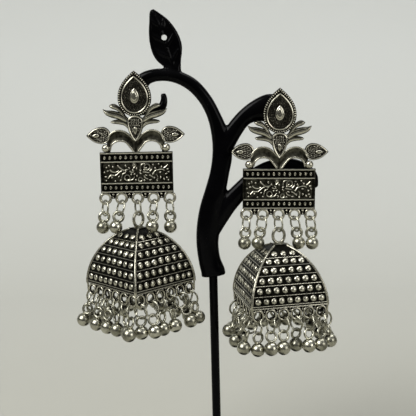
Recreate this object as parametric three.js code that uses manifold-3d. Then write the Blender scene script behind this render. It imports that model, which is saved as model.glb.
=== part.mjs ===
import * as THREE from "three";
import { mergeVertices } from "three/addons/utils/BufferGeometryUtils.js";
import Module from "manifold-3d";

const wasm = await Module();
wasm.setup();

// A pair of jhumka earrings on a branching display stand, in millimetres.
// X runs to the right, Y away from the viewer and Z up. The origin is the middle of the stand's underside.

// Clearance between two pieces that rest on each other or link through each other
const GAP = 0.3;

// Stand: a round foot, a thin rod and a flat moulded branch with a leaf on top
const BASE_RADIUS = 35;
const BASE_EDGE = 2.6;
const BASE_HEIGHT = 4;
const BASE_BEVEL = 0.8;
const ROD_RADIUS = 1.4;
const SOCKET_WALL = 2.9;
const SOCKET_HEIGHT = 9;
const SOCKET_FLOOR = 1.5;
const TRUNK_BOTTOM = 75.6;
const TRUNK_WALL = 0.8;
const ROD_DEPTH_IN_TRUNK = 6;
const BRANCH_HEIGHT = 84.8;
const BRANCH_WIDTH = 8;
const LIMB_THICKNESS = 4;
const LEAF_THICKNESS = 2.6;
const TRUNK_TO_DOME = 5.2;

// Earring plate: the soldered top casting, measured from the middle of the panel's top edge
const PLATE_THICKNESS = 1.2;
const RIM_HEIGHT = 0.5;
const RIM_WIDTH = 0.6;
const SEAM = 0.45;
const PANEL_WIDTH = 22.8;
const PANEL_HEIGHT = 12.8;
const RAIL_WIDTH = 0.6;
const BEAD_BAND = 2.7;
const TEAR = { half: 5.2, up: 8.4, down: 5.7, steps: 4 };
const TEAR_MARGIN = 1.0;
const BOSS = { half: TEAR.half * 0.24, up: TEAR.up * 0.333, down: TEAR.down * 0.333 };
const DROP_TEAR = { half: 2.5, up: 6.5, down: 2.0 };
const DROP_BEAD = { half: DROP_TEAR.half * 0.24, up: DROP_TEAR.up * 0.2, down: DROP_TEAR.down * 0.5, steps: 2 };
const SIDE_TEAR = { half: 2.65, up: 4.9, down: 2.6 };
const BEAD_TOWARDS_TIP = 0.35;
const ARCH = { half: 9.0, peak: 6.8, dip: 3.5, shoulder: 4.9 };
const SHOULDER_BALL_RADIUS = 1.3;
const WING_REACH = 10.2;
const POST_RADIUS = 0.45;
const POST_TIP = 0.6;
const NUT_RADIUS = 2.4;
const NUT_THICKNESS = 2.2;

// Loops along the plate's lower edge and what hangs in them
const LOOP_COUNT = 5;
const LOOP_WIRE = 0.35;
const LINK_RADIUS = 2.45;
const LINK_WIRE = 0.3;
const EYE_RADIUS = 1.53;
const EYE_WIRE = 0.45;
const DROP_BALL_RADIUS = 2.1;
const DROP_BALL_SEAT = 0.28;
const DOME_RING_RADIUS = 2.37;
const DOME_RING_WIRE = 0.43;

// Dome: a hollow four-sided bell with ribs at its corners and pierced loops round its rim
const DOME_HALF = 12.2;
const DOME_HEIGHT = 17.4;
const DOME_TOP_HALF = 2.0;
const DOME_WALL = 0.8;
const DOME_CURVE = { depthPower: 1.8, widthPower: 0.55 };
const DOME_SECTIONS = [0.057, 0.149, 0.287, 0.471, 0.701];
const CORNER_RIB_RADIUS = 0.5;
const RAIL_HEIGHT = 1.0;
const RAIL_STEP = 0.45;
const RIM_LOOPS_PER_FACE = 6;
const RIM_STRIP_THICKNESS = 0.8;
const RIM_BALL_DROP = 10.2;
const RIM_STEM_RADIUS = 0.55;

// Sizes that follow the ones above
const TRUNK_THICKNESS = 2 * (ROD_RADIUS + GAP + TRUNK_WALL);
const SOCKET_RADIUS = ROD_RADIUS + GAP + SOCKET_WALL;
const PLATE_BACK = -(LIMB_THICKNESS / 2 + GAP);
const DROP_TEAR_MIDDLE = ARCH.dip - SEAM + DROP_TEAR.up;
const TEAR_MIDDLE = DROP_TEAR_MIDDLE + DROP_TEAR.down - SEAM + TEAR.down;
const BOSS_MIDDLE = TEAR_MIDDLE + TEAR.up * 0.095;
const POST_UP = TEAR_MIDDLE + TEAR.up * 0.06;
const POST_LENGTH = PLATE_THICKNESS / 2 + LIMB_THICKNESS + 2 * GAP + NUT_THICKNESS + POST_TIP;
const POST_HOLE_RADIUS = POST_RADIUS + GAP;
const ARCH_OPENING = { centre: ARCH.half * 0.517, half: ARCH.half * 0.35, height: ARCH.dip * 0.8 };
const LOOP_PITCH = PANEL_WIDTH / (LOOP_COUNT - 0.5);
const LOOP_RADIUS = LOOP_PITCH * 0.32;
const LINK_TOP = LOOP_WIRE + LINK_WIRE + GAP;
const LINK_MIDDLE = LINK_TOP - LINK_RADIUS;
const LINK_BOTTOM = LINK_MIDDLE - LINK_RADIUS;
const EYE_MIDDLE = LINK_BOTTOM + LINK_WIRE + GAP + EYE_WIRE - EYE_RADIUS;
const DROP_BALL_MIDDLE = EYE_MIDDLE - EYE_RADIUS - DROP_BALL_RADIUS + DROP_BALL_SEAT;
const DOME_RING_MIDDLE = LINK_BOTTOM + LINK_WIRE + GAP + DOME_RING_WIRE - DOME_RING_RADIUS;
const DOME_RING_ABOVE_TOP = DOME_RING_RADIUS + DOME_RING_WIRE * 0.6;
const RIM_LOOP_PITCH = (2 * DOME_HALF) / RIM_LOOPS_PER_FACE;
const RIM_LOOP_OUTER = RIM_LOOP_PITCH * 0.48;
const RIM_LOOP_HOLE = RIM_LOOP_OUTER * 0.615;
const RIM_LOOP_DROP = RIM_LOOP_OUTER * 1.23;
const RIM_BALL_PITCH = RIM_LOOP_PITCH * 1.06;
const RIM_BALL_RADIUS = RIM_BALL_PITCH * 0.512;
const RIM_BALL_OUT = RIM_BALL_PITCH * (RIM_LOOPS_PER_FACE / 2 + 0.172);
const DOME_REACH = (DOME_HALF + RAIL_STEP) * Math.SQRT2;
const POST_REACH = DOME_REACH + TRUNK_TO_DOME;

// Where a share of the branch's reach and height lies on the stand
function onBranch(across, up) {
  return { x: across * POST_REACH, z: TRUNK_BOTTOM + up * BRANCH_HEIGHT };
}

// The two earrings: where the ear post goes through the stand, how the plate leans and how the dome is turned
const EARRINGS = [
  {
    side: "left",
    post: onBranch(-1, 0.69),
    plateLean: 0.4,
    domeTurn: 44,
    drops: [
      { loop: 0, aside: 9.4, forward: 0 },
      { loop: 1, aside: 14.9, forward: 15 },
      { loop: 3, aside: 4.2, forward: 25 },
      { loop: 4, aside: 0.5, forward: 0 },
    ],
  },
  {
    side: "right",
    post: onBranch(0.95, 0.615),
    plateLean: 1.3,
    domeTurn: 11.5,
    drops: [
      { loop: 0, aside: 6.0, forward: 0 },
      { loop: 1, aside: 11.6, forward: 0 },
      { loop: 3, aside: -9.6, forward: 0 },
      { loop: 4, aside: -3.7, forward: 0 },
    ],
  },
];

// Limbs of the branch, bottom to tip: the middle and width of each section as shares of the branch's reach,
// height and width, and its thickness
const MAIN_LIMB = [
  { across: 0.009, up: 0, width: 1, thickness: TRUNK_THICKNESS },
  { across: -0.048, up: 0.059, width: 0.912, thickness: TRUNK_THICKNESS },
  { across: -0.069, up: 0.123, width: 0.9, thickness: TRUNK_THICKNESS },
  { across: -0.052, up: 0.188, width: 0.95, thickness: TRUNK_THICKNESS },
  { across: -0.004, up: 0.258, width: 0.95, thickness: TRUNK_THICKNESS },
  { across: 0.056, up: 0.323, width: 0.85, thickness: TRUNK_THICKNESS },
  { across: 0.121, up: 0.394, width: 0.775, thickness: LIMB_THICKNESS },
  { across: 0.165, up: 0.465, width: 0.8, thickness: LIMB_THICKNESS },
  { across: 0.143, up: 0.535, width: 0.7, thickness: LIMB_THICKNESS },
  { across: 0.065, up: 0.608, width: 0.55, thickness: LIMB_THICKNESS },
  { across: -0.052, up: 0.672, width: 0.512, thickness: LIMB_THICKNESS },
  { across: -0.225, up: 0.726, width: 0.525, thickness: LIMB_THICKNESS },
  { across: -0.442, up: 0.757, width: 0.5, thickness: LIMB_THICKNESS },
  { across: -0.658, up: 0.765, width: 0.5, thickness: LIMB_THICKNESS },
  { across: -0.84, up: 0.754, width: 0.55, thickness: LIMB_THICKNESS },
  { across: -0.966, up: 0.719, width: 0.75, thickness: LIMB_THICKNESS },
  { across: -1.005, up: 0.682, width: 1.025, thickness: LIMB_THICKNESS },
  { across: -0.987, up: 0.649, width: 0.8, thickness: LIMB_THICKNESS },
  { across: -0.883, up: 0.637, width: 0.4, thickness: LIMB_THICKNESS * 0.8 },
  { across: -0.745, up: 0.633, width: 0.312, thickness: LIMB_THICKNESS * 0.75 },
  { across: -0.645, up: 0.647, width: 0.33, thickness: LIMB_THICKNESS * 0.7 },
  { across: -0.615, up: 0.671, width: 0.28, thickness: LIMB_THICKNESS * 0.6 },
  { across: -0.619, up: 0.689, width: 0.16, thickness: LIMB_THICKNESS * 0.35 },
];
const UPPER_ARM = [
  { across: 0.139, up: 0.441, width: 0.55, thickness: LIMB_THICKNESS * 0.9 },
  { across: 0.225, up: 0.5, width: 0.65, thickness: LIMB_THICKNESS },
  { across: 0.329, up: 0.552, width: 0.675, thickness: LIMB_THICKNESS },
  { across: 0.468, up: 0.598, width: 0.65, thickness: LIMB_THICKNESS },
  { across: 0.632, up: 0.623, width: 0.85, thickness: LIMB_THICKNESS },
  { across: 0.797, up: 0.632, width: 1.125, thickness: LIMB_THICKNESS },
  { across: 0.927, up: 0.63, width: 1.05, thickness: LIMB_THICKNESS },
  { across: 1.022, up: 0.625, width: 0.7, thickness: LIMB_THICKNESS * 0.85 },
  { across: 1.091, up: 0.62, width: 0.2, thickness: LIMB_THICKNESS * 0.4 },
];
const LOWER_ARM = [
  { across: -0.035, up: 0.164, width: 0.7, thickness: LIMB_THICKNESS * 1.1 },
  { across: 0.113, up: 0.233, width: 0.775, thickness: LIMB_THICKNESS },
  { across: 0.277, up: 0.29, width: 0.725, thickness: LIMB_THICKNESS },
  { across: 0.468, up: 0.34, width: 0.725, thickness: LIMB_THICKNESS },
  { across: 0.676, up: 0.375, width: 0.95, thickness: LIMB_THICKNESS * 0.9 },
  { across: 0.909, up: 0.392, width: 1.1, thickness: LEAF_THICKNESS },
  { across: 1.152, up: 0.392, width: 1.05, thickness: LEAF_THICKNESS },
  { across: 1.351, up: 0.37, width: 0.775, thickness: LEAF_THICKNESS },
  { across: 1.464, up: 0.333, width: 0.175, thickness: LIMB_THICKNESS * 0.35 },
];
const TOP_LEAF = [
  { across: -0.416, up: 0.752, width: 0.375, thickness: LEAF_THICKNESS },
  { across: -0.459, up: 0.79, width: 0.675, thickness: LEAF_THICKNESS },
  { across: -0.528, up: 0.842, width: 1.15, thickness: LEAF_THICKNESS },
  { across: -0.58, up: 0.892, width: 1.2, thickness: LEAF_THICKNESS },
  { across: -0.641, up: 0.941, width: 0.9, thickness: LEAF_THICKNESS },
  { across: -0.71, up: 0.983, width: 0.35, thickness: LEAF_THICKNESS * 0.77 },
  { across: -0.736, up: 1, width: 0.1, thickness: LEAF_THICKNESS * 0.4 },
];
const LEAF_HOLE = onBranch(-0.58, 0.899);

// Wing leaves beside the teardrops, from root to tip, as shares of the wing's reach: how far out and how far
// above the middle of the lower teardrop, with half the leaf's width
const WING_LEAVES = [
  [
    { out: 0.2, up: 0.06, half: 0.08 },
    { out: 0.4, up: 0.3, half: 0.085 },
    { out: 0.56, up: 0.4, half: 0.085 },
    { out: 0.72, up: 0.44, half: 0.06 },
  ],
  [
    { out: 0.196, up: -0.02, half: 0.108 },
    { out: 0.45, up: 0.1, half: 0.123 },
    { out: 0.65, up: 0.17, half: 0.128 },
    { out: 0.8, up: 0.22, half: 0.1 },
    { out: 0.94, up: 0.35, half: 0.015 },
  ],
  [
    { out: 0.127, up: -0.24, half: 0.078 },
    { out: 0.35, up: -0.085, half: 0.07 },
    { out: 0.52, up: -0.02, half: 0.07 },
    { out: 0.71, up: -0.03, half: 0.06 },
  ],
];

// Materials
const GLOSS_BLACK = { color: 0x0b0b0c, roughness: 0.18, metalness: 0 };
const OXIDISED_SILVER = { color: 0x8c8878, roughness: 0.38, metalness: 1 };
const BRIGHT_SILVER = { color: 0xb9b6a6, roughness: 0.26, metalness: 1 };

// Mesh sides
const LINK_SIDES = 10;
const WIRE_SIDES = 5;
const BALL_SIDES = 10;
const LIMB_SIDES = 8;
const FOOT_SIDES = 28;

const DEGREE = Math.PI / 180;

// Solids: a closed geometry becomes a solid that can be joined and cut
function solidOf(geometry) {
  geometry.deleteAttribute("normal");
  geometry.deleteAttribute("uv");
  const merged = mergeVertices(geometry, 1e-4);
  const mesh = new wasm.Mesh({
    numProp: 3,
    vertProperties: merged.attributes.position.array,
    triVerts: new Uint32Array(merged.index.array),
  });
  return new wasm.Manifold(mesh);
}

function geometryOf(solid) {
  const mesh = solid.getMesh();
  const geometry = new THREE.BufferGeometry();
  geometry.setAttribute("position", new THREE.BufferAttribute(mesh.vertProperties, 3));
  geometry.setIndex(new THREE.BufferAttribute(mesh.triVerts, 1));
  geometry.computeVertexNormals();
  return geometry;
}

function join(solids) {
  return solids.reduce((whole, next) => whole.add(next));
}

// A closed skin over a row of equal rings of points, with a flat cap at each end
function skin(rings) {
  const sides = rings[0].length;
  const points = rings.flat();
  const index = [];
  for (let r = 0; r + 1 < rings.length; r++) {
    for (let s = 0; s < sides; s++) {
      const a = r * sides + s;
      const b = r * sides + ((s + 1) % sides);
      index.push(a, b, b + sides, a, b + sides, a + sides);
    }
  }
  const last = (rings.length - 1) * sides;
  for (let s = 1; s + 1 < sides; s++) {
    index.push(0, s + 1, s, last, last + s, last + s + 1);
  }
  const geometry = new THREE.BufferGeometry().setFromPoints(points);
  geometry.setIndex(index);
  return geometry;
}

function arcPoints(x, y, radius, from, to, steps) {
  const points = [];
  for (let i = 0; i <= steps; i++) {
    const angle = (from + ((to - from) * i) / steps) * DEGREE;
    points.push(new THREE.Vector2(x + radius * Math.cos(angle), y + radius * Math.sin(angle)));
  }
  return points;
}

function circlePoints(x, y, radius, sides) {
  return arcPoints(x, y, radius, 0, 360, sides).slice(0, sides);
}

// A flat shape raised from one height to another
function slab(outline, from, to, holes = []) {
  const shape = new THREE.Shape(outline);
  shape.holes = holes.map((points) => new THREE.Path(points));
  const geometry = new THREE.ExtrudeGeometry(shape, { depth: to - from, bevelEnabled: false });
  geometry.translate(0, 0, from);
  return solidOf(geometry);
}

function bar(x, y, width, height, from, to) {
  const geometry = new THREE.BoxGeometry(width, height, to - from);
  geometry.translate(x, y, (from + to) / 2);
  return solidOf(geometry);
}

function ball(radius, rows, x, y, z) {
  const geometry = new THREE.SphereGeometry(radius, BALL_SIDES, rows);
  geometry.rotateX(Math.PI / 2);
  geometry.translate(x, y, z);
  return solidOf(geometry);
}

function ring(radius, wire, sides = LINK_SIDES) {
  return new THREE.TorusGeometry(radius, wire, WIRE_SIDES, sides);
}

// The outline of a strip that follows a curve through a few points, its half width given at each
function stripOutline(rows, steps) {
  const middle = new THREE.SplineCurve(rows.map((row) => new THREE.Vector2(row.x, row.y)));
  const left = [];
  const right = [];
  for (let i = 0; i <= steps; i++) {
    const at = (i / steps) * (rows.length - 1);
    const row = Math.min(Math.floor(at), rows.length - 2);
    const half = THREE.MathUtils.lerp(rows[row].half, rows[row + 1].half, at - row);
    const point = middle.getPoint(i / steps);
    const along = middle.getTangent(i / steps);
    left.push(new THREE.Vector2(point.x - along.y * half, point.y + along.x * half));
    right.push(new THREE.Vector2(point.x + along.y * half, point.y - along.x * half));
  }
  return left.concat(right.reverse());
}

// A teardrop outline with its point up, its widest level at y = 0
function tearOutline({ half, up, down, steps = 3 }, inset = 0) {
  const w = half - inset;
  const tip = up - inset * 1.6;
  const foot = down - inset;
  const shape = new THREE.Shape();
  shape.moveTo(0, tip);
  shape.bezierCurveTo(-0.5 * w, 0.76 * tip, -w, 0.45 * tip, -w, 0);
  shape.bezierCurveTo(-w, -0.56 * foot, -0.56 * w, -foot, 0, -foot);
  shape.bezierCurveTo(0.56 * w, -foot, w, -0.56 * foot, w, 0);
  shape.bezierCurveTo(w, 0.45 * tip, 0.5 * w, 0.76 * tip, 0, tip);
  return shape.getPoints(steps).slice(0, -1);
}

function placed(points, turn, x, y) {
  const centre = new THREE.Vector2(0, 0);
  const shift = new THREE.Vector2(x, y);
  return points.map((p) => p.clone().rotateAround(centre, turn * DEGREE).add(shift));
}

// Stand
function limb(rows) {
  const places = rows.map((row) => onBranch(row.across, row.up));
  const middle = new THREE.CatmullRomCurve3(places.map((place) => new THREE.Vector3(place.x, 0, place.z)));
  const rings = [];
  const steps = rows.length - 1;
  for (let i = 0; i <= steps; i++) {
    const { width, thickness } = rows[i];
    const point = middle.getPoint(i / steps);
    const along = middle.getTangent(i / steps);
    const section = [];
    for (let s = 0; s < LIMB_SIDES; s++) {
      const angle = ((s + 0.5) / LIMB_SIDES) * 2 * Math.PI;
      const across = (Math.cos(angle) * width * BRANCH_WIDTH) / 2;
      const deep = (Math.sign(Math.sin(angle)) * Math.abs(Math.sin(angle)) ** 0.6 * thickness) / 2;
      section.push(new THREE.Vector3(point.x + along.z * across, deep, point.z - along.x * across));
    }
    rings.push(section);
  }
  return solidOf(skin(rings));
}

function postHole(x, z) {
  const geometry = new THREE.CylinderGeometry(POST_HOLE_RADIUS, POST_HOLE_RADIUS, 3 * TRUNK_THICKNESS, 10);
  geometry.translate(x, 0, z);
  return solidOf(geometry);
}

function rodGeometry(radius, from, to) {
  const geometry = new THREE.CylinderGeometry(radius, radius, to - from, 16);
  geometry.rotateX(Math.PI / 2);
  geometry.translate(0, 0, (from + to) / 2);
  return geometry;
}

function standBase() {
  const socket = ROD_RADIUS + GAP;
  const profile = [
    new THREE.Vector2(0, 0),
    new THREE.Vector2(BASE_RADIUS - BASE_BEVEL, 0),
    new THREE.Vector2(BASE_RADIUS, BASE_BEVEL),
    new THREE.Vector2(BASE_RADIUS, BASE_EDGE - BASE_BEVEL),
    new THREE.Vector2(BASE_RADIUS - 1.5 * BASE_BEVEL, BASE_EDGE),
    new THREE.Vector2(SOCKET_RADIUS + 1.5 * BASE_BEVEL, BASE_HEIGHT),
    new THREE.Vector2(SOCKET_RADIUS, BASE_HEIGHT + 1.5 * BASE_BEVEL),
    new THREE.Vector2(SOCKET_RADIUS - BASE_BEVEL, SOCKET_HEIGHT),
    new THREE.Vector2(socket, SOCKET_HEIGHT),
    new THREE.Vector2(socket, SOCKET_FLOOR),
    new THREE.Vector2(0, SOCKET_FLOOR),
  ];
  const geometry = new THREE.LatheGeometry(profile, FOOT_SIDES);
  geometry.rotateX(Math.PI / 2);
  return solidOf(geometry);
}

function standBranch() {
  const limbs = join([limb(MAIN_LIMB), limb(UPPER_ARM), limb(LOWER_ARM), limb(TOP_LEAF)]);
  const socket = solidOf(rodGeometry(ROD_RADIUS + GAP, 0, TRUNK_BOTTOM + ROD_DEPTH_IN_TRUNK + GAP));
  const holes = [socket, postHole(LEAF_HOLE.x, LEAF_HOLE.z)];
  EARRINGS.forEach(({ post }) => holes.push(postHole(post.x, post.z)));
  return limbs.subtract(join(holes));
}

// Earring plate, drawn face on: x to the right, y up, z towards the viewer, back face at z = 0
function rimmedTear(tear, turn, x, y, margin) {
  const edge = placed(tearOutline(tear), turn, x, y);
  const rimOuter = placed(tearOutline(tear, margin), turn, x, y);
  const rimInner = placed(tearOutline(tear, margin + RIM_WIDTH), turn, x, y);
  return join([
    slab(edge, 0, PLATE_THICKNESS),
    slab(rimOuter, PLATE_THICKNESS / 2, PLATE_THICKNESS + RIM_HEIGHT, [rimInner]),
  ]);
}

function raisedBoss(tear, turn, x, y) {
  const outline = placed(tearOutline(tear), turn, x, y);
  const crown = placed(tearOutline(tear, tear.half * 0.45), turn, x, y);
  const low = outline.map((p) => new THREE.Vector3(p.x, p.y, PLATE_THICKNESS / 2));
  const shoulder = outline.map((p) => new THREE.Vector3(p.x, p.y, PLATE_THICKNESS + RIM_HEIGHT * 0.5));
  const top = crown.map((p) => new THREE.Vector3(p.x, p.y, PLATE_THICKNESS + RIM_HEIGHT * 1.6));
  return solidOf(skin([low, shoulder, top]));
}

function teardrops() {
  const pieces = [
    rimmedTear(TEAR, 0, 0, TEAR_MIDDLE, TEAR_MARGIN),
    raisedBoss(BOSS, 0, 0, BOSS_MIDDLE),
    rimmedTear(DROP_TEAR, 180, 0, DROP_TEAR_MIDDLE, 0),
    raisedBoss(DROP_BEAD, 180, 0, DROP_TEAR_MIDDLE - DROP_TEAR.up * BEAD_TOWARDS_TIP),
  ];
  const height = ARCH.shoulder + SEAM;
  for (const side of [-1, 1]) {
    const x = side * (ARCH.half - 2.5 * SEAM + SIDE_TEAR.down);
    const bossX = x + side * SIDE_TEAR.up * BEAD_TOWARDS_TIP;
    pieces.push(rimmedTear(SIDE_TEAR, -90 * side, x, height, 0));
    pieces.push(raisedBoss(DROP_BEAD, -90 * side, bossX, height));
  }
  return join(pieces);
}

function wings() {
  const leaves = [];
  for (const rows of WING_LEAVES) {
    for (const side of [1, -1]) {
      const points = rows.map((row) => ({
        x: -side * row.out * WING_REACH,
        y: DROP_TEAR_MIDDLE + row.up * WING_REACH,
        half: row.half * WING_REACH,
      }));
      leaves.push(slab(stripOutline(points, 4), 0, PLATE_THICKNESS + RIM_HEIGHT * 0.6));
    }
  }
  return join(leaves);
}

// The arch's upper edge, from the outer foot over the hump to the dip in the middle
function archCurve() {
  const { half, peak, dip, shoulder } = ARCH;
  return new THREE.SplineCurve([
    new THREE.Vector2(-half, 2 * shoulder - peak),
    new THREE.Vector2(-half * 0.88, (peak + shoulder) * 0.46),
    new THREE.Vector2(-half * 0.572, peak),
    new THREE.Vector2(-half * 0.24, (peak + dip) * 0.55),
    new THREE.Vector2(0, dip),
  ]);
}

function archOpening(side, from, to, margin) {
  return arcPoints(0, 0, 1, from, to, 5).map(
    (p) =>
      new THREE.Vector2(
        side * ARCH_OPENING.centre + p.x * (ARCH_OPENING.half + margin),
        SEAM * 0.1 + p.y * (ARCH_OPENING.height + margin),
      ),
  );
}

function doubleArch() {
  const leftSide = archCurve().getPoints(6);
  const rightSide = leftSide
    .slice(0, -1)
    .map((p) => new THREE.Vector2(-p.x, p.y))
    .reverse();
  const foot = -RAIL_WIDTH;
  const outline = [...leftSide, ...rightSide];
  outline.unshift(new THREE.Vector2(-ARCH.half, foot));
  outline.push(new THREE.Vector2(ARCH.half, foot));
  const openings = [-1, 1].map((side) => archOpening(side, 0, 180, 0));
  const rimHalf = RIM_WIDTH / 2;
  const pieces = [slab(outline, 0, PLATE_THICKNESS, openings)];
  for (const side of [-1, 1]) {
    const crest = [0, 0.25, 0.5, 0.75, 1].map((t) => {
      const p = archCurve().getPoint(t);
      return { x: -side * p.x, y: p.y - rimHalf, half: rimHalf };
    });
    const brow = archOpening(side, 10, 170, rimHalf).map((p) => ({ x: p.x, y: p.y, half: rimHalf }));
    pieces.push(slab(stripOutline(crest, 6), PLATE_THICKNESS / 2, PLATE_THICKNESS + RIM_HEIGHT));
    pieces.push(slab(stripOutline(brow, 5), PLATE_THICKNESS / 2, PLATE_THICKNESS + RIM_HEIGHT));
    const shoulderX = side * (ARCH.half + SEAM);
    pieces.push(ball(SHOULDER_BALL_RADIUS, 4, shoulderX, SHOULDER_BALL_RADIUS, PLATE_THICKNESS * 0.7));
  }
  return join(pieces);
}

// Cast relief between the bead bands: three flowers and two scrolls
function flowerOutline(x, y, radius, petals) {
  const points = [];
  for (let i = 0; i < petals * 2; i++) {
    const share = i % 2 ? 0.5 : 1;
    const angle = (i / petals) * Math.PI + Math.PI / 2;
    points.push(new THREE.Vector2(x + Math.cos(angle) * radius * share, y + Math.sin(angle) * radius * share));
  }
  return points;
}

function scrollRows(x, y, radius, side) {
  return [0, 1, 2, 3, 4, 5, 6].map((i) => {
    const angle = side * i * 75 * DEGREE;
    const r = radius * (1 - i * 0.11);
    return { x: x + side * r * Math.cos(angle), y: y + r * Math.sin(angle), half: RIM_WIDTH * 0.47 };
  });
}

function panelRelief() {
  const middle = -PANEL_HEIGHT / 2;
  const low = PLATE_THICKNESS / 2;
  const high = PLATE_THICKNESS + RIM_HEIGHT * 0.7;
  const band = PANEL_HEIGHT - 2 * BEAD_BAND - 2 * RAIL_WIDTH;
  const pieces = [slab(flowerOutline(0, middle, band * 0.22, 6), low, high)];
  for (const side of [-1, 1]) {
    const y = middle + side * band * 0.145;
    pieces.push(slab(stripOutline(scrollRows(side * PANEL_WIDTH * 0.136, y, band * 0.21, side), 8), low, high));
    pieces.push(slab(flowerOutline(side * PANEL_WIDTH * 0.382, y, band * 0.177, 5), low, high));
  }
  return join(pieces);
}

function panel() {
  const top = PLATE_THICKNESS + RIM_HEIGHT;
  const low = PLATE_THICKNESS / 2;
  const pieces = [bar(0, -PANEL_HEIGHT / 2, PANEL_WIDTH, PANEL_HEIGHT, 0, PLATE_THICKNESS)];
  const edge = RAIL_WIDTH / 2;
  const rails = [-edge, -BEAD_BAND - edge, -PANEL_HEIGHT + BEAD_BAND + edge, -PANEL_HEIGHT + edge];
  rails.forEach((y) => pieces.push(bar(0, y, PANEL_WIDTH, RAIL_WIDTH, low, top)));
  for (const side of [-1, 1]) {
    pieces.push(bar(side * (PANEL_WIDTH / 2 - edge), -PANEL_HEIGHT / 2, RAIL_WIDTH, PANEL_HEIGHT, low, top));
  }
  return join(pieces);
}

const LOOP_Y = -PANEL_HEIGHT - LOOP_RADIUS - LOOP_WIRE * 0.5;

function loopX(index) {
  return (index - (LOOP_COUNT - 1) / 2) * LOOP_PITCH;
}

function loopRow() {
  const pieces = [];
  for (let i = 0; i < LOOP_COUNT; i++) {
    const loop = ring(LOOP_RADIUS, LOOP_WIRE);
    loop.rotateZ(Math.PI / 2);
    loop.translate(loopX(i), LOOP_Y, PLATE_THICKNESS / 2);
    pieces.push(solidOf(loop));
    if (i > 0) {
      const web = LOOP_PITCH - 2 * (LOOP_RADIUS + LOOP_WIRE);
      const depth = LOOP_RADIUS + SEAM;
      const level = (SEAM - depth) / 2 - PANEL_HEIGHT;
      pieces.push(bar(loopX(i) - LOOP_PITCH / 2, level, web + LOOP_WIRE, depth, 0, PLATE_THICKNESS));
    }
  }
  return join(pieces);
}

function earPost() {
  const geometry = new THREE.CylinderGeometry(POST_RADIUS, POST_RADIUS, POST_LENGTH, 10);
  geometry.rotateX(Math.PI / 2);
  geometry.translate(0, POST_UP, PLATE_THICKNESS / 2 - POST_LENGTH / 2);
  return solidOf(geometry);
}

function earringPlate() {
  const parts = [teardrops(), wings(), doubleArch(), panel(), panelRelief(), loopRow(), earPost()];
  return join(parts).translate([0, -POST_UP, 0]);
}

function earNut() {
  const outline = circlePoints(0, 0, NUT_RADIUS, 12);
  const bore = circlePoints(0, 0, POST_RADIUS + GAP, 8);
  const back = LIMB_THICKNESS + 2 * GAP;
  return slab(outline, -back - NUT_THICKNESS, -back, [bore]);
}

// What hangs in the loops: drawn straight down from the loop's lower wire, at the origin
function linkRing() {
  const geometry = ring(LINK_RADIUS, LINK_WIRE);
  geometry.rotateY(Math.PI / 2);
  geometry.rotateX(Math.PI / 2);
  geometry.translate(0, 0, LINK_MIDDLE);
  return solidOf(geometry);
}

function bellBead() {
  const eye = ring(EYE_RADIUS, EYE_WIRE);
  eye.rotateX(Math.PI / 2);
  eye.translate(0, 0, EYE_MIDDLE);
  return join([solidOf(eye), ball(DROP_BALL_RADIUS, 4, 0, 0, DROP_BALL_MIDDLE)]);
}

// Dome, drawn with the middle of its flat top at the origin
function domeHalf(depth) {
  const { depthPower, widthPower } = DOME_CURVE;
  return DOME_HALF * (1 - (1 - depth / DOME_HEIGHT) ** depthPower) ** widthPower;
}

function squareLathe(profile) {
  const corners = profile.map(([half, z]) => new THREE.Vector2(half * Math.SQRT2, z));
  const geometry = new THREE.LatheGeometry(corners, 4);
  geometry.rotateX(Math.PI / 2);
  geometry.rotateZ(Math.PI / 4);
  return solidOf(geometry);
}

function domeWall() {
  const outer = [[0, 0], [DOME_TOP_HALF, 0]];
  const inner = [[0, -2 * DOME_WALL]];
  for (const share of DOME_SECTIONS) {
    const depth = share * DOME_HEIGHT;
    outer.push([domeHalf(depth), -depth]);
    if (depth > 2 * DOME_WALL) {
      inner.push([domeHalf(depth - DOME_WALL) - DOME_WALL, -depth]);
    }
  }
  const railTop = DOME_HEIGHT - RAIL_HEIGHT;
  outer.push([domeHalf(railTop), -railTop]);
  outer.push([DOME_HALF + RAIL_STEP, -railTop]);
  outer.push([DOME_HALF + RAIL_STEP, -DOME_HEIGHT]);
  inner.push([DOME_HALF - DOME_WALL, -DOME_HEIGHT]);
  return squareLathe(outer.concat(inner.reverse()).reverse());
}

function cornerRib() {
  const ridge = [0.017, 0.069, 0.172, 0.316, 0.489, 0.69, 0.862, 1].map((share) => {
    const half = domeHalf(share * DOME_HEIGHT);
    return new THREE.Vector3(half, half, -share * DOME_HEIGHT);
  });
  const section = new THREE.Shape(circlePoints(0, 0, CORNER_RIB_RADIUS, 5));
  const path = new THREE.CatmullRomCurve3(ridge);
  return new THREE.ExtrudeGeometry(section, { steps: 6, bevelEnabled: false, extrudePath: path });
}

function rimStrip() {
  const outline = [new THREE.Vector2(-DOME_HALF, RAIL_STEP)];
  const holes = [];
  for (let i = 0; i < RIM_LOOPS_PER_FACE; i++) {
    const x = (i - (RIM_LOOPS_PER_FACE - 1) / 2) * RIM_LOOP_PITCH;
    outline.push(...arcPoints(x, -RIM_LOOP_DROP, RIM_LOOP_OUTER, 180, 360, 4));
    holes.push(circlePoints(x, -RIM_LOOP_DROP, RIM_LOOP_HOLE, 6));
  }
  outline.push(new THREE.Vector2(DOME_HALF, RAIL_STEP));
  return slab(outline, -RIM_STRIP_THICKNESS, 0, holes);
}

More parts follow.
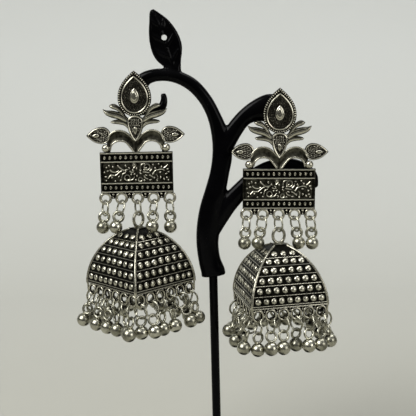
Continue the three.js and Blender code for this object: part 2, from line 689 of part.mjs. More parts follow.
function dome() {
  const pieces = [domeWall()];
  const rib = solidOf(cornerRib());
  const strip = rimStrip().rotate([90, 0, 0]).translate([0, -DOME_HALF, -DOME_HEIGHT]);
  for (const turn of [0, 90, 180, 270]) {
    pieces.push(rib.rotate([0, 0, turn]));
    pieces.push(strip.rotate([0, 0, turn]));
  }
  const hanger = ring(DOME_RING_RADIUS, DOME_RING_WIRE);
  hanger.rotateX(Math.PI / 2);
  hanger.translate(0, 0, DOME_RING_ABOVE_TOP);
  pieces.push(solidOf(hanger));
  return join(pieces);
}

function stem(foot, head) {
  const rings = [foot, head].map((end) =>
    circlePoints(end.x, end.y, RIM_STEM_RADIUS, 4).map((p) => new THREE.Vector3(p.x, p.y, end.z)),
  );
  return solidOf(skin(rings));
}

function rimDrops() {
  const level = -DOME_HEIGHT - RIM_LOOP_DROP - RIM_BALL_DROP;
  const stemTop = -DOME_HEIGHT - RIM_LOOP_DROP - RIM_LOOP_OUTER - GAP;
  const stripMiddle = RIM_STRIP_THICKNESS / 2 - DOME_HALF;
  const pieces = [];
  for (let i = 0; i < RIM_LOOPS_PER_FACE; i++) {
    const place = i - (RIM_LOOPS_PER_FACE - 1) / 2;
    const bead = ball(RIM_BALL_RADIUS, 4, place * RIM_BALL_PITCH, -RIM_BALL_OUT, level);
    const foot = new THREE.Vector3(place * RIM_BALL_PITCH, -RIM_BALL_OUT, level);
    const head = new THREE.Vector3(place * RIM_LOOP_PITCH, stripMiddle, stemTop);
    pieces.push(bead.add(stem(foot, head)));
  }
  const face = join(pieces);
  return join([0, 90, 180, 270].map((turn) => face.rotate([0, 0, turn])));
}

// Scene
const jewellery = new THREE.Group();

function addPiece(parent, name, solid, finish) {
  const mesh = new THREE.Mesh(geometryOf(solid), new THREE.MeshStandardMaterial(finish));
  mesh.name = name;
  parent.add(mesh);
  return mesh;
}

addPiece(jewellery, "stand_base", standBase(), GLOSS_BLACK);
const rodFrom = SOCKET_FLOOR + GAP;
const rodTo = TRUNK_BOTTOM + ROD_DEPTH_IN_TRUNK;
addPiece(jewellery, "stand_rod", solidOf(rodGeometry(ROD_RADIUS, rodFrom, rodTo)), GLOSS_BLACK);
addPiece(jewellery, "stand_branch", standBranch(), GLOSS_BLACK);

const plateSolid = earringPlate();
const nutSolid = earNut();
const linkSolid = linkRing();
const beadSolid = bellBead();
const domeSolid = dome();
const rimDropSolid = rimDrops();
const LOOP_PLANE = PLATE_BACK - PLATE_THICKNESS / 2;
const HANG_BELOW_POST = POST_UP - LOOP_Y + LOOP_RADIUS;

for (const { side, post, plateLean, domeTurn, drops } of EARRINGS) {
  const earring = new THREE.Group();
  earring.position.set(post.x, 0, post.z);
  earring.rotation.y = plateLean * DEGREE;
  jewellery.add(earring);

  const facing = new THREE.Group();
  facing.position.y = PLATE_BACK;
  facing.rotation.x = Math.PI / 2;
  earring.add(facing);
  addPiece(facing, side + "_plate", plateSolid, OXIDISED_SILVER);
  addPiece(facing, side + "_ear_nut", nutSolid, BRIGHT_SILVER);

  for (const { loop, aside, forward } of drops) {
    const hanging = new THREE.Group();
    hanging.position.set(loopX(loop), LOOP_PLANE, -HANG_BELOW_POST);
    hanging.rotation.set(-forward * DEGREE, aside * DEGREE - plateLean * DEGREE, 0);
    earring.add(hanging);
    addPiece(hanging, side + "_link_" + (loop + 1), linkSolid, BRIGHT_SILVER);
    addPiece(hanging, side + "_bell_bead_" + (loop + 1), beadSolid, BRIGHT_SILVER);
  }

  const centre = new THREE.Group();
  centre.position.set(0, LOOP_PLANE, -HANG_BELOW_POST);
  centre.rotation.y = -plateLean * DEGREE;
  earring.add(centre);
  addPiece(centre, side + "_centre_link", linkSolid, BRIGHT_SILVER);

  const bell = new THREE.Group();
  bell.position.z = DOME_RING_MIDDLE - DOME_RING_ABOVE_TOP;
  bell.rotation.z = domeTurn * DEGREE;
  centre.add(bell);
  addPiece(bell, side + "_dome", domeSolid, OXIDISED_SILVER);
  addPiece(bell, side + "_rim_drops", rimDropSolid, BRIGHT_SILVER);
}

export default jewellery;
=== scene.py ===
# %% [markdown]
# A pair of jhumka earrings on a display stand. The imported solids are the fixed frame: they say where
# every part sits and which body it moves with. Each detailed piece below takes the place of one or more
# of them. Sizes of the pieces are in millimetres, as jewellery is measured, and are turned into metres
# when a mesh is made. The set at the end is in metres.

# %% Open the frame
import random
from math import cos, pi, radians, sin, sqrt

import bmesh
import bpy
import numpy as np
from mathutils import Matrix, Vector


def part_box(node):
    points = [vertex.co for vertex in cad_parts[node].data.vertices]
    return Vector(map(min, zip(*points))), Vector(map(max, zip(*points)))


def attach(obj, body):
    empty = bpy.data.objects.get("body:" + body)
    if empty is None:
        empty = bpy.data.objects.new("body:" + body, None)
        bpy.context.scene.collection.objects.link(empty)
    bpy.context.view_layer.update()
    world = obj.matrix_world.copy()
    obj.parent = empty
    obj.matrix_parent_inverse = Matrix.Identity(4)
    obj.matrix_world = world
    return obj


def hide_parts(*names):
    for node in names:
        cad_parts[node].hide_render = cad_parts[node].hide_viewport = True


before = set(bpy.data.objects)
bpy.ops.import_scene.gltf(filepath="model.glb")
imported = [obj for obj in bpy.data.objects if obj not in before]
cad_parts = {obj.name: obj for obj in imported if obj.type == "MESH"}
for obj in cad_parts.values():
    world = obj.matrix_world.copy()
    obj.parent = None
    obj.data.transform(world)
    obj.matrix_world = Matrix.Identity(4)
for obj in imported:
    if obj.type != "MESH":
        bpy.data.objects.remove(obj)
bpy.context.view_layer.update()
MM = 0.001
SIDES = ("left", "right")
LEAN = {"left": 0.4, "right": 1.3}
DOME_TURN = {"left": 44, "right": 11.5}
rng = random.Random(11)
print("nodes", len(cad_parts))

# %% [markdown]
# A detailed piece has to fit its solid, so these sizes follow the solids'. They could be measured off the
# frame, but named values are easier to read. Lengths along the plate start at the middle of its panel's
# top edge.

# %% Sizes shared with the solids
GAP = 0.3
PLATE = 1.2
PANEL_WIDTH = 22.8
PANEL_HEIGHT = 12.8
RAIL = 0.6
BEAD_BAND = 2.7
LIMB_THICKNESS = 4.0
PLATE_BACK = -(LIMB_THICKNESS / 2 + GAP)
TEAR = (5.2, 8.4, 5.7)
TEAR_MIDDLE = 16.8
DROP_TEAR = (2.5, 6.5, 2.0)
DROP_TEAR_MIDDLE = 9.55
SIDE_TEAR = (2.65, 4.9, 2.6)
ARCH_HALF = 9.0
ARCH_SHOULDER = 4.9
ARCH_CREST = [
    (-9, 3.4), (-8.46, 4.9), (-7.1, 6.3), (-5.2, 6.8), (-3.4, 6.4), (-1.8, 5.3), (-0.7, 4.1), (0, 3.5),
]
ARCH_RIM = [(-8.1, 0.7), (-7.65, 2.2), (-6.5, 3.25), (-4.8, 3.6), (-3.15, 3.15), (-1.9, 1.75), (-0.75, 0.2)]
WING_REACH = 10.2
POST_UP = TEAR_MIDDLE + TEAR[1] * 0.06
LOOP_PITCH = PANEL_WIDTH / 4.5
LOOP_RADIUS = LOOP_PITCH * 0.32
LOOP_WIRE = 0.35
LOOP_Y = -PANEL_HEIGHT - LOOP_RADIUS - LOOP_WIRE / 2
HANG_BELOW_POST = POST_UP - LOOP_Y + LOOP_RADIUS
LINK_RADIUS = 2.45
LINK_WIRE = 0.3
LINK_MIDDLE = LOOP_WIRE + LINK_WIRE + GAP - LINK_RADIUS
LINK_BOTTOM = LINK_MIDDLE - LINK_RADIUS
EYE_RADIUS = 1.53
EYE_WIRE = 0.45
EYE_MIDDLE = LINK_BOTTOM + LINK_WIRE + GAP + EYE_WIRE - EYE_RADIUS
BALL_RADIUS = 2.1
BALL_MIDDLE = EYE_MIDDLE - EYE_RADIUS - BALL_RADIUS + 0.28
RING_RADIUS = 2.37
RING_WIRE = 0.43
RING_MIDDLE = LINK_BOTTOM + LINK_WIRE + GAP + RING_WIRE - RING_RADIUS
APEX = RING_MIDDLE - RING_RADIUS - RING_WIRE * 0.6
DOME_HALF = 12.2
DOME_HEIGHT = 17.4
DOME_TOP_HALF = 2.0
DOME_WALL = 0.8
RIM_LOOPS = 6
RIM_PITCH = 2 * DOME_HALF / RIM_LOOPS
RIM_OUTER = RIM_PITCH * 0.48
RIM_LOOP_DROP = RIM_OUTER * 1.23
DROPS = {
    "left": [(0, 9.4, 0), (1, 14.9, 15), (3, 4.2, 25), (4, 0.5, 0)],
    "right": [(0, 6.0, 0), (1, 11.6, 0), (3, -9.6, 0), (4, -3.7, 0)],
}
print("panel", PANEL_WIDTH, "by", PANEL_HEIGHT, "mm, dome", 2 * DOME_HALF, "by", DOME_HEIGHT, "mm")

# %% [markdown]
# Soldered jewellery is built from few shapes: wires, studs, flat plates and turned balls. Hundreds of
# them are needed, so helpers make them as plain arrays instead of modelled meshes. Each point also
# carries a shine: 1 where metal is rubbed bright, 0 where it lies deep and stays black. The low shine of
# the thin ring inside each dome rim loop is painted shade.

# %% Shape helpers
Z = np.array([0.0, 0.0, 1.0])


def smoothstep(low, high, value):
    t = np.clip((np.asarray(value, float) - low) / (high - low), 0, 1)
    return t * t * (3 - 2 * t)


def unit(v):
    v = np.asarray(v, float)
    return v / np.maximum(np.linalg.norm(v, axis=-1, keepdims=True), 1e-9)


def skin(rings, closed=False, caps=True):
    """A surface over equal rings of points, with its ends capped or joined to each other."""
    rings = np.asarray(rings, float)
    count, sides = rings.shape[:2]
    faces = []
    for r in range(count if closed else count - 1):
        n = (r + 1) % count
        for s in range(sides):
            t = (s + 1) % sides
            faces.append((r * sides + s, r * sides + t, n * sides + t, n * sides + s))
    if caps and not closed:
        faces.append(tuple(range(sides))[::-1])
        faces.append(tuple((count - 1) * sides + s for s in range(sides)))
    return rings.reshape(-1, 3), faces


def tube(points, radius, up=Z, sides=8, closed=False, shine=None):
    """A round wire along a line. The side that faces up is rubbed bright unless shine is given."""
    points = np.asarray(points, float)
    if closed:
        along = np.roll(points, -1, 0) - np.roll(points, 1, 0)
    else:
        along = np.gradient(points, axis=0)
    along = unit(along)
    across = unit(np.cross(along, up))
    lift = np.cross(across, along)
    radius = np.broadcast_to(np.asarray(radius, float), (len(points),))
    angles = np.arange(sides) / sides * 2 * pi
    cosine, sine = np.cos(angles)[None, :, None], np.sin(angles)[None, :, None]
    ring = cosine * across[:, None, :] + sine * lift[:, None, :]
    verts, faces = skin(points[:, None, :] + ring * radius[:, None, None], closed)
    glow = smoothstep(-0.3, 0.75, np.sin(angles)) if shine is None else np.full(sides, shine)
    return verts, faces, np.tile(glow, len(points))


def cap(centre, radii, up=Z, side=None, seg=12, rings=4, reach=100, shine=(-0.05, 0.7), flutes=0):
    """A rounded stud: part of an ellipsoid that rises along up, its ovals lined up with side."""
    up = unit(up)
    side = np.array([1.0, 0, 0]) if side is None else np.asarray(side, float)
    across = unit(side - up * np.dot(side, up))
    other = np.cross(up, across)
    steps = np.radians(np.linspace(reach, 0, rings + 1))[:-1]
    turn = np.arange(seg) / seg * 2 * pi
    rx, ry, height = radii
    swell = 1 + 0.07 * np.cos(flutes * turn) if flutes else np.ones(seg)
    verts = [
        centre + rx * w * sin(a) * cos(t) * across + ry * w * sin(a) * sin(t) * other
        + height * cos(a) * up
        for a in steps
        for t, w in zip(turn, swell)
    ]
    verts.append(centre + height * up)
    faces = []
    for r in range(rings - 1):
        for s in range(seg):
            t = (s + 1) % seg
            faces.append((r * seg + s, r * seg + t, (r + 1) * seg + t, (r + 1) * seg + s))
    last = (rings - 1) * seg
    faces += [(last + s, last + (s + 1) % seg, len(verts) - 1) for s in range(seg)]
    faces.append(tuple(range(seg))[::-1])
    verts = np.array(verts)
    return verts, faces, smoothstep(*shine, (verts - centre) @ up / height)


def slab(outline, low, high, shine=0.0, edge=0.15):
    """A flat plate with that outline, from one height to another."""
    outline = np.asarray(outline, float)
    rings = [np.c_[outline, np.full(len(outline), level)] for level in (low, high)]
    verts, faces = skin(rings)
    return verts, faces, np.r_[np.full(len(outline), edge), np.full(len(outline), shine)]


def spun(profile, seg=32, shine=1.0):
    """A turned shape about Z from points of radius and height, bottom first."""
    turn = np.arange(seg) / seg * 2 * pi
    rings = [np.c_[r * np.cos(turn), r * np.sin(turn), np.full(seg, z)] for r, z in profile]
    verts, faces = skin(rings)
    return verts, faces, np.full(len(verts), shine)


def circle(radius, plane="xz", count=32, centre=(0, 0, 0)):
    turn = np.arange(count) / count * 2 * pi
    flat = np.zeros((count, 3))
    flat[:, "xyz".index(plane[0])] = radius * np.cos(turn)
    flat[:, "xyz".index(plane[1])] = radius * np.sin(turn)
    return flat + np.asarray(centre, float)


def moved(shape, matrix):
    verts, faces, shine = shape
    m = np.array(matrix)
    return verts @ m[:3, :3].T + m[:3, 3], faces, shine


def spline(points, count):
    """Points along a smooth curve through the given ones."""
    p = np.asarray(points, float)
    p = np.vstack([2 * p[0] - p[1], p, 2 * p[-1] - p[-2]])
    out = []
    for at in np.linspace(0, len(p) - 3 - 1e-9, count):
        i = int(at)
        t = at - i
        a, b, c, d = p[i : i + 4]
        bend, twist = 2 * a - 5 * b + 4 * c - d, 3 * b - a - 3 * c + d
        out.append(0.5 * (2 * b + (c - a) * t + bend * t**2 + twist * t**3))
    return np.array(out)


def flat(points, z):
    points = np.asarray(points, float)
    return np.c_[points, np.full(len(points), z)]


print("points in one stud", len(cap(np.zeros(3), (1, 1, 1))[0]))

# %% [markdown]
# Oxidised silver is blackened and then rubbed, so only raised parts turn pale. A painted picture would
# blur close up, so the material reads the shine of each point, and fine noise breaks it up. The others
# are polished silver, granulated silver with a cell pattern for its grains, and gloss black.

# %% Finishes
def node_material(name):
    material = bpy.data.materials.new(name)
    material.use_nodes = True
    return material, material.node_tree.nodes, material.node_tree.links


def noise(nodes, links, scale, detail=4.0, roughness=0.55):
    place = nodes.new("ShaderNodeTexCoord")
    made = nodes.new("ShaderNodeTexNoise")
    made.inputs["Scale"].default_value = scale
    made.inputs["Detail"].default_value = detail
    made.inputs["Roughness"].default_value = roughness
    links.new(place.outputs["Object"], made.inputs["Vector"])
    return made.outputs["Fac"]


def ramp(nodes, links, value, stops):
    made = nodes.new("ShaderNodeValToRGB")
    elements = made.color_ramp.elements
    while len(elements) < len(stops):
        elements.new(0.5)
    for element, (at, color) in zip(elements, stops):
        element.position = at
        element.color = (*color, 1)
    links.new(value, made.inputs["Fac"])
    return made.outputs["Color"]


def combine(nodes, links, kind, a, b):
    made = nodes.new("ShaderNodeMath")
    made.operation = kind
    for socket, value in zip(made.inputs, (a, b)):
        if isinstance(value, (int, float)):
            socket.default_value = value
        else:
            links.new(value, socket)
    return made.outputs["Value"]


def bump(nodes, links, shader, height, strength, distance):
    made = nodes.new("ShaderNodeBump")
    made.inputs["Strength"].default_value = strength
    made.inputs["Distance"].default_value = distance
    links.new(height, made.inputs["Height"])
    links.new(made.outputs["Normal"], shader.inputs["Normal"])


def grey(value):
    return (value, value, value)


def oxidised_silver():
    material, nodes, links = node_material("oxidised_silver")
    shader = nodes["Principled BSDF"]
    shader.inputs["Metallic"].default_value = 0.95
    worn = nodes.new("ShaderNodeAttribute")
    worn.attribute_name = "shine"
    speckle = noise(nodes, links, 900, 5)
    patina = noise(nodes, links, 160, 3)
    spread = combine(nodes, links, "MULTIPLY", combine(nodes, links, "SUBTRACT", speckle, 0.5), 0.6)
    cloud = combine(nodes, links, "MULTIPLY", combine(nodes, links, "SUBTRACT", patina, 0.5), 0.45)
    level = combine(nodes, links, "ADD", worn.outputs["Fac"], combine(nodes, links, "ADD", spread, cloud))
    color = ramp(
        nodes, links, level,
        [
            (0.0, (0.003, 0.003, 0.002)), (0.35, (0.014, 0.013, 0.009)),
            (0.65, (0.13, 0.125, 0.095)), (0.97, (0.52, 0.5, 0.41)),
        ],
    )
    rough = ramp(nodes, links, level, [(0.0, grey(0.55)), (0.5, grey(0.38)), (1.0, grey(0.22))])
    links.new(color, shader.inputs["Base Color"])
    links.new(rough, shader.inputs["Roughness"])
    bump(nodes, links, shader, speckle, 0.35, 0.00012)
    return material


def granulated_silver():
    material, nodes, links = node_material("granulated_silver")
    shader = nodes["Principled BSDF"]
    shader.inputs["Metallic"].default_value = 0.85
    place = nodes.new("ShaderNodeTexCoord")
    grains = nodes.new("ShaderNodeTexVoronoi")
    grains.inputs["Scale"].default_value = 2600
    links.new(place.outputs["Object"], grains.inputs["Vector"])
    height = combine(nodes, links, "SUBTRACT", 1.0, grains.outputs["Distance"])
    patchy = noise(nodes, links, 700, 4)
    level = combine(nodes, links, "MULTIPLY", height, patchy)
    stops = [(0.1, (0.005, 0.004, 0.003)), (0.34, (0.03, 0.027, 0.02)), (0.6, (0.12, 0.112, 0.088))]
    color = ramp(nodes, links, level, stops)
    links.new(color, shader.inputs["Base Color"])
    shader.inputs["Roughness"].default_value = 0.42
    bump(nodes, links, shader, height, 0.8, 0.0002)
    return material


def polished_silver():
    material, nodes, links = node_material("polished_silver")
    shader = nodes["Principled BSDF"]
    shader.inputs["Metallic"].default_value = 1.0
    film = noise(nodes, links, 260, 4)
    grain = noise(nodes, links, 2400, 3)
    stops = [(0.3, (0.16, 0.155, 0.118)), (0.5, (0.36, 0.35, 0.28)), (0.72, (0.6, 0.585, 0.49))]
    color = ramp(nodes, links, film, stops)
    rough = ramp(nodes, links, film, [(0.3, grey(0.34)), (0.7, grey(0.2))])
    links.new(color, shader.inputs["Base Color"])
    links.new(rough, shader.inputs["Roughness"])
    bump(nodes, links, shader, grain, 0.12, 0.00005)
    return material


def gloss_black():
    material, nodes, links = node_material("gloss_black")
    shader = nodes["Principled BSDF"]
    shader.inputs["Specular IOR Level"].default_value = 0.06
    haze = noise(nodes, links, 90, 4)
    ripple = noise(nodes, links, 140, 2)
    color = ramp(nodes, links, haze, [(0.3, (0.0006, 0.0006, 0.0008)), (0.75, (0.002, 0.002, 0.0024))])
    rough = ramp(nodes, links, haze, [(0.3, grey(0.1)), (0.75, grey(0.18))])
    links.new(color, shader.inputs["Base Color"])
    links.new(rough, shader.inputs["Roughness"])
    bump(nodes, links, shader, ripple, 0.15, 0.0003)
    return material


OXIDISED = oxidised_silver()
GRAINED = granulated_silver()
POLISHED = polished_silver()
BLACK = gloss_black()
print("materials", len(bpy.data.materials))

# %% [markdown]
# A real part is soldered from many bits and moves as one. A parent with children could do that, but one
# mesh is lighter. One function makes it, lets it ride on its body and hides the solids it stands for.
# The others find a part's place from the ear nuts in the frame.

# %% Make a piece and find its place
def piece(name, shapes, material, body, nodes, second=None):
    """shapes may be tuples with a fourth entry, 1, for faces that take the second material."""
    verts, faces, shine, kinds = [], [], [], []
    start = 0
    for shape in shapes:
        v, f, s = shape[:3]
        verts.append(v)
        shine.append(s)
        faces += [tuple(start + i for i in face) for face in f]
        kinds += [shape[3] if len(shape) > 3 else 0] * len(f)
        start += len(v)
    mesh = bpy.data.meshes.new(name)
    mesh.from_pydata((np.vstack(verts) * MM).tolist(), [], faces)
    mesh.materials.append(material)
    if second:
        mesh.materials.append(second)
    mesh.polygons.foreach_set("material_index", kinds)
    glow = mesh.attributes.new("shine", "FLOAT", "POINT")
    glow.data.foreach_set("value", np.concatenate(shine).astype(np.float32))
    shell = bmesh.new()
    shell.from_mesh(mesh)
    bmesh.ops.recalc_face_normals(shell, faces=shell.faces)
    shell.to_mesh(mesh)
    shell.free()
    mesh.shade_smooth()
    mesh.set_sharp_from_angle(angle=radians(40))
    obj = bpy.data.objects.new(name, mesh)
    bpy.context.scene.collection.objects.link(obj)
    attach(obj, body)
    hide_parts(*nodes)
    mesh.calc_loop_triangles()
    print(name, len(mesh.loop_triangles), "triangles")
    return obj


def post_of(side):
    low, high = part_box(side + "_ear_nut")
    return (low.x + high.x) / 2 / MM, (low.z + high.z) / 2 / MM


def earring_place(side):
    x, z = post_of(side)
    return Matrix.Translation((x, 0, z)) @ Matrix.Rotation(radians(LEAN[side]), 4, "Y")


def plate_place(side):
    face_on = Matrix.Translation((0, PLATE_BACK, 0)) @ Matrix.Rotation(pi / 2, 4, "X")
    return earring_place(side) @ face_on @ Matrix.Translation((0, -POST_UP, 0))


def hang_place(side, loop, aside, forward):
    x = (loop - 2) * LOOP_PITCH
    point = Matrix.Translation((x, PLATE_BACK - PLATE / 2, -HANG_BELOW_POST))
    sway = Matrix.Rotation(radians(aside - LEAN[side]), 4, "Y")
    return earring_place(side) @ point @ Matrix.Rotation(radians(-forward), 4, "X") @ sway


print("ear posts at", [[round(v, 2) for v in post_of(side)] for side in SIDES], "mm across and up")

# %% [markdown]
# The plate carries teardrops of granulated silver: a wire rim round tiny balls, with a smooth boss. The
# big one also has small beads along its edge. Grains could be bump alone, but their outline shows against
# the light, so the rows are real balls, set a little unevenly as hand work is.

# %% Teardrops
GRAIN_PITCH = 0.55
EDGE_BEAD_PITCH = 0.7


def bezier(a, b, c, d, count):
    t = np.linspace(0, 1, count, endpoint=False)[:, None]
    a, b, c, d = (np.asarray(p, float) for p in (a, b, c, d))
    return a * (1 - t) ** 3 + 3 * b * t * (1 - t) ** 2 + 3 * c * t**2 * (1 - t) + d * t**3


def tear_outline(tear, inset=0.0, count=12):
    half, up, down = tear
    w, tip, foot = half - inset, up - inset * 1.5, down - inset
    top, low = (0, tip), (0, -foot)
    left, right = (-w, 0), (w, 0)
    return np.vstack([
        bezier(top, (-0.5 * w, 0.76 * tip), (-w, 0.45 * tip), left, count),
        bezier(left, (-w, -0.56 * foot), (-0.56 * w, -foot), low, count),
        bezier(low, (0.56 * w, -foot), (w, -0.56 * foot), right, count),
        bezier(right, (w, 0.45 * tip), (0.5 * w, 0.76 * tip), top, count),
    ])


def resample(points, count, closed=True):
    points = np.asarray(points, float)
    if closed:
        points = np.vstack([points, points[:1]])
    length = np.r_[0, np.cumsum(np.linalg.norm(np.diff(points, axis=0), axis=1))]
    at = np.linspace(0, length[-1], count, endpoint=not closed)
    return np.stack([np.interp(at, length, points[:, i]) for i in range(points.shape[1])], 1)


def turned(points, degrees, x, y):
    a = radians(degrees)
    c, s = cos(a), sin(a)
    return np.asarray(points) @ np.array([[c, s], [-s, c]]) + (x, y)


def boss(tear, degrees, x, y, height, low=PLATE - 0.1):
    levels = [(0.0, 0.0), (0.03, 0.45), (0.12, 0.72), (0.3, 0.9), (0.6, 1.0)]
    rings = []
    for inset, rise in levels:
        outline = turned(tear_outline(tear, inset * tear[0], 8), degrees, x, y)
        rings.append(flat(outline, low + rise * height))
    verts, faces = skin(rings)
    return verts, faces, smoothstep(low + 0.1, low + height * 0.8, verts[:, 2])


def granules(tear, degrees, x, y, inset, clear, glow):
    """Tiny balls in staggered rows over a teardrop's field.

    None is set on the oval clear, which is given as its middle, half width and half height.
    """
    outline = tear_outline(tear, inset)
    edge = np.vstack([outline[24:], outline[:1]])
    middle, half_width, half_height = clear
    shapes = []
    for row, level in enumerate(np.arange(edge[0, 1], edge[-1, 1], GRAIN_PITCH * 0.87)):
        reach = float(np.interp(level, edge[:, 1], edge[:, 0]))
        count = int(2 * reach / GRAIN_PITCH) + row % 2
        for i in range(count):
            px = (i - (count - 1) / 2) * GRAIN_PITCH + rng.uniform(-0.05, 0.05)
            py = level + rng.uniform(-0.05, 0.05)
            if (px / half_width) ** 2 + ((py - middle) / half_height) ** 2 < 1:
                continue
            at = turned([(px, py)], degrees, x, y)[0]
            size = rng.uniform(0.16, 0.22)
            shine = (0.1, rng.uniform(*glow))
            shapes.append(cap(np.array([*at, PLATE + 0.02]), (size, size, 0.27), seg=6, rings=2, shine=shine))
    return shapes


def teardrop(tear, degrees, x, y, beaded, clear, wire=0.19):
    edge = turned(tear_outline(tear), degrees, x, y)
    shapes = [slab(edge, 0, PLATE, 0.0)]
    margin = 0.1
    if beaded:
        margin = 0.95
        line = tear_outline(tear, 0.38)
        around = float(np.linalg.norm(np.roll(line, -1, 0) - line, axis=1).sum())
        beads = turned(resample(line, round(around / EDGE_BEAD_PITCH)), degrees, x, y)
        for point, ahead, behind in zip(beads, np.roll(beads, -1, 0), np.roll(beads, 1, 0)):
            outward = (ahead[1] - behind[1], behind[0] - ahead[0], 0)
            seat = np.array([*point, PLATE - 0.12])
            shapes.append(cap(seat, (0.38, 0.25, 0.45), side=outward, seg=10, rings=4))
    rim = turned(tear_outline(tear, margin + wire), degrees, x, y)
    shapes.append(tube(flat(rim, PLATE + 0.1), wire, closed=True))
    field = turned(tear_outline(tear, margin + 2 * wire), degrees, x, y)
    shapes.append((*slab(field, PLATE - 0.2, PLATE + 0.03, 0.5), 1))
    glow = (1.2, 2.4) if beaded else (0.5, 1.1)
    return shapes + granules(tear, degrees, x, y, margin + 2 * wire + 0.22, clear, glow)


def teardrops():
    shapes = teardrop(TEAR, 0, 0, TEAR_MIDDLE, True, (0.7, 1.5, 2.6), 0.24)
    shapes.append(boss((1.45, 2.9, 2.05), 0, 0, TEAR_MIDDLE + 0.35, 0.5, PLATE - 0.05))
    shapes.append(boss((1.05, 2.3, 1.5), 0, 0, TEAR_MIDDLE + 0.35, 0.8, PLATE + 0.25))
    raised = teardrop(DROP_TEAR, 180, 0, DROP_TEAR_MIDDLE, False, (2.9, 0.8, 1.7), 0.26)
    raised.append(boss((0.66, 1.7, 0.95), 180, 0, DROP_TEAR_MIDDLE - 2.45, 0.8, PLATE))
    lift = Matrix.Translation((0, 0, 0.4))
    shapes += [raised[0], *((*moved(shape[:3], lift), *shape[3:]) for shape in raised)]
    for side in (-1, 1):
        x = side * (ARCH_HALF - 1.125 + SIDE_TEAR[2])
        y = ARCH_SHOULDER + 0.45
        shapes += teardrop(SIDE_TEAR, -90 * side, x, y, False, (2.0, 0.8, 1.5))
        shapes.append(boss((0.66, 1.5, 0.95), -90 * side, x + side * 1.7, y, 0.75, PLATE))
    return shapes


print("big teardrop", 2 * TEAR[0], "by", round(TEAR[1] + TEAR[2], 2), "mm")

# %% [markdown]
# Curved leaves spread like wings beside the teardrops. They could be carved, but sweeping a domed section
# along a curve is simpler: a table gives each leaf's middle line and half width.

# %% Wing leaves
WING_LEAVES = [
    [(0.28, 0.05, 0.05), (0.4, 0.28, 0.055), (0.53, 0.41, 0.07), (0.67, 0.47, 0.082), (0.78, 0.48, 0.05)],
    [(0.25, 0.03, 0.08), (0.45, 0.16, 0.105), (0.67, 0.225, 0.108), (0.855, 0.28, 0.078), (0.98, 0.38, 0.02)],
    [(0.16, -0.2, 0.06), (0.3, -0.06, 0.07), (0.5, -0.005, 0.074), (0.75, -0.01, 0.066)],
]


def blade(rows, side):
    """A plump leaf: domed and rubbed bright along its crest, with a dark groove beside its upper edge."""
    count = 30
    points = spline([(side * out, up) for out, up, _ in rows], count) * WING_REACH + (0, DROP_TEAR_MIDDLE)
    half = spline([(h, 0) for _, _, h in rows], count)[:, 0] * WING_REACH
    end = np.linspace(0, 1, count)
    half = np.maximum(half, 0.08) * np.sqrt(np.clip(1.02 - end**7, 0.02, 1))
    along = unit(np.gradient(points, axis=0))
    across = np.c_[-along[:, 1], along[:, 0]] * side
    shares = np.linspace(-1, 1, 13)
    swell = np.sqrt(1 - 0.97 * shares**2) - 0.42 * np.exp(-(((shares - 0.38) / 0.14) ** 2))
    sections, shine = [], []
    for point, normal, h in zip(points, across, half):
        rise = min(0.95, 0.25 + h * 0.75)
        row = [(*(point + normal * h * s), PLATE - 0.35 + rise * lift) for s, lift in zip(shares, swell)]
        sections.append([(*(point - normal * h), 0.0), *row, (*(point + normal * h), 0.0)])
        shine.append([0.0, *smoothstep(0.3, 0.95, swell), 0.0])
    verts, faces = skin(sections)
    return [(verts, faces, np.ravel(shine) * 0.95)]


def wings():
    shapes = []
    for side in (-1, 1):
        for rows in WING_LEAVES:
            shapes += blade(rows, side)
    return shapes


print("wing leaves on one plate", len(wings()))

# %% [markdown]
# A double arch joins the teardrops to the panel: a dark hollow band between two bright wires, with an
# opening under each half. Cutting holes would leave hard edges, so the band is swept between its two
# border lines.

# %% Arch
def down_to_foot(line, foot):
    """The line with straight ends that run down to the panel, the last one to foot across."""
    start = np.linspace((line[0, 0], -0.3), line[0], 6)[:-1]
    return np.vstack([start, line, np.linspace(line[-1], (foot, -0.3), 6)[1:]])


def arch_side(side):
    """One half of the arch: a dark hollow band between its crest and the rim over the opening."""
    crest = spline(ARCH_CREST, 34)
    rim = spline(ARCH_RIM, 34)
    outer, inner = down_to_foot(crest, 0), down_to_foot(rim, 0.35)
    mirror = (-side, 1)
    rows = [
        (0.0, 0.0), (0.0, PLATE), (0.2, PLATE - 0.3), (0.5, PLATE - 0.5),
        (0.8, PLATE - 0.3), (1.0, PLATE), (1.0, 0.0),
    ]
    sections = [
        [(*((a + (b - a) * share) * mirror), level) for share, level in rows]
        for a, b in zip(inner, outer)
    ]
    verts, faces = skin(sections)
    shapes = [(verts, faces, np.full(len(verts), 0.46))]
    shapes.append(tube(flat(rim * mirror, PLATE + 0.02), 0.3, sides=10))
    shapes.append(tube(flat(crest * mirror, PLATE + 0.06), 0.3, sides=10))
    ball = np.array([side * (ARCH_HALF + 0.45), 1.3, PLATE * 0.7])
    shapes.append(cap(ball, (1.3, 1.3, 1.3), seg=20, rings=10, reach=170, shine=(-0.5, 0.6)))
    return shapes


print("shapes in half an arch", len(arch_side(1)))

# %% [markdown]
# The panel has two bands of beads between rails and, between them, a pressed band of flowers and stems. A
# height picture could show it, but wires and ovals keep crisp edges, so tables list each one from the
# band's middle.

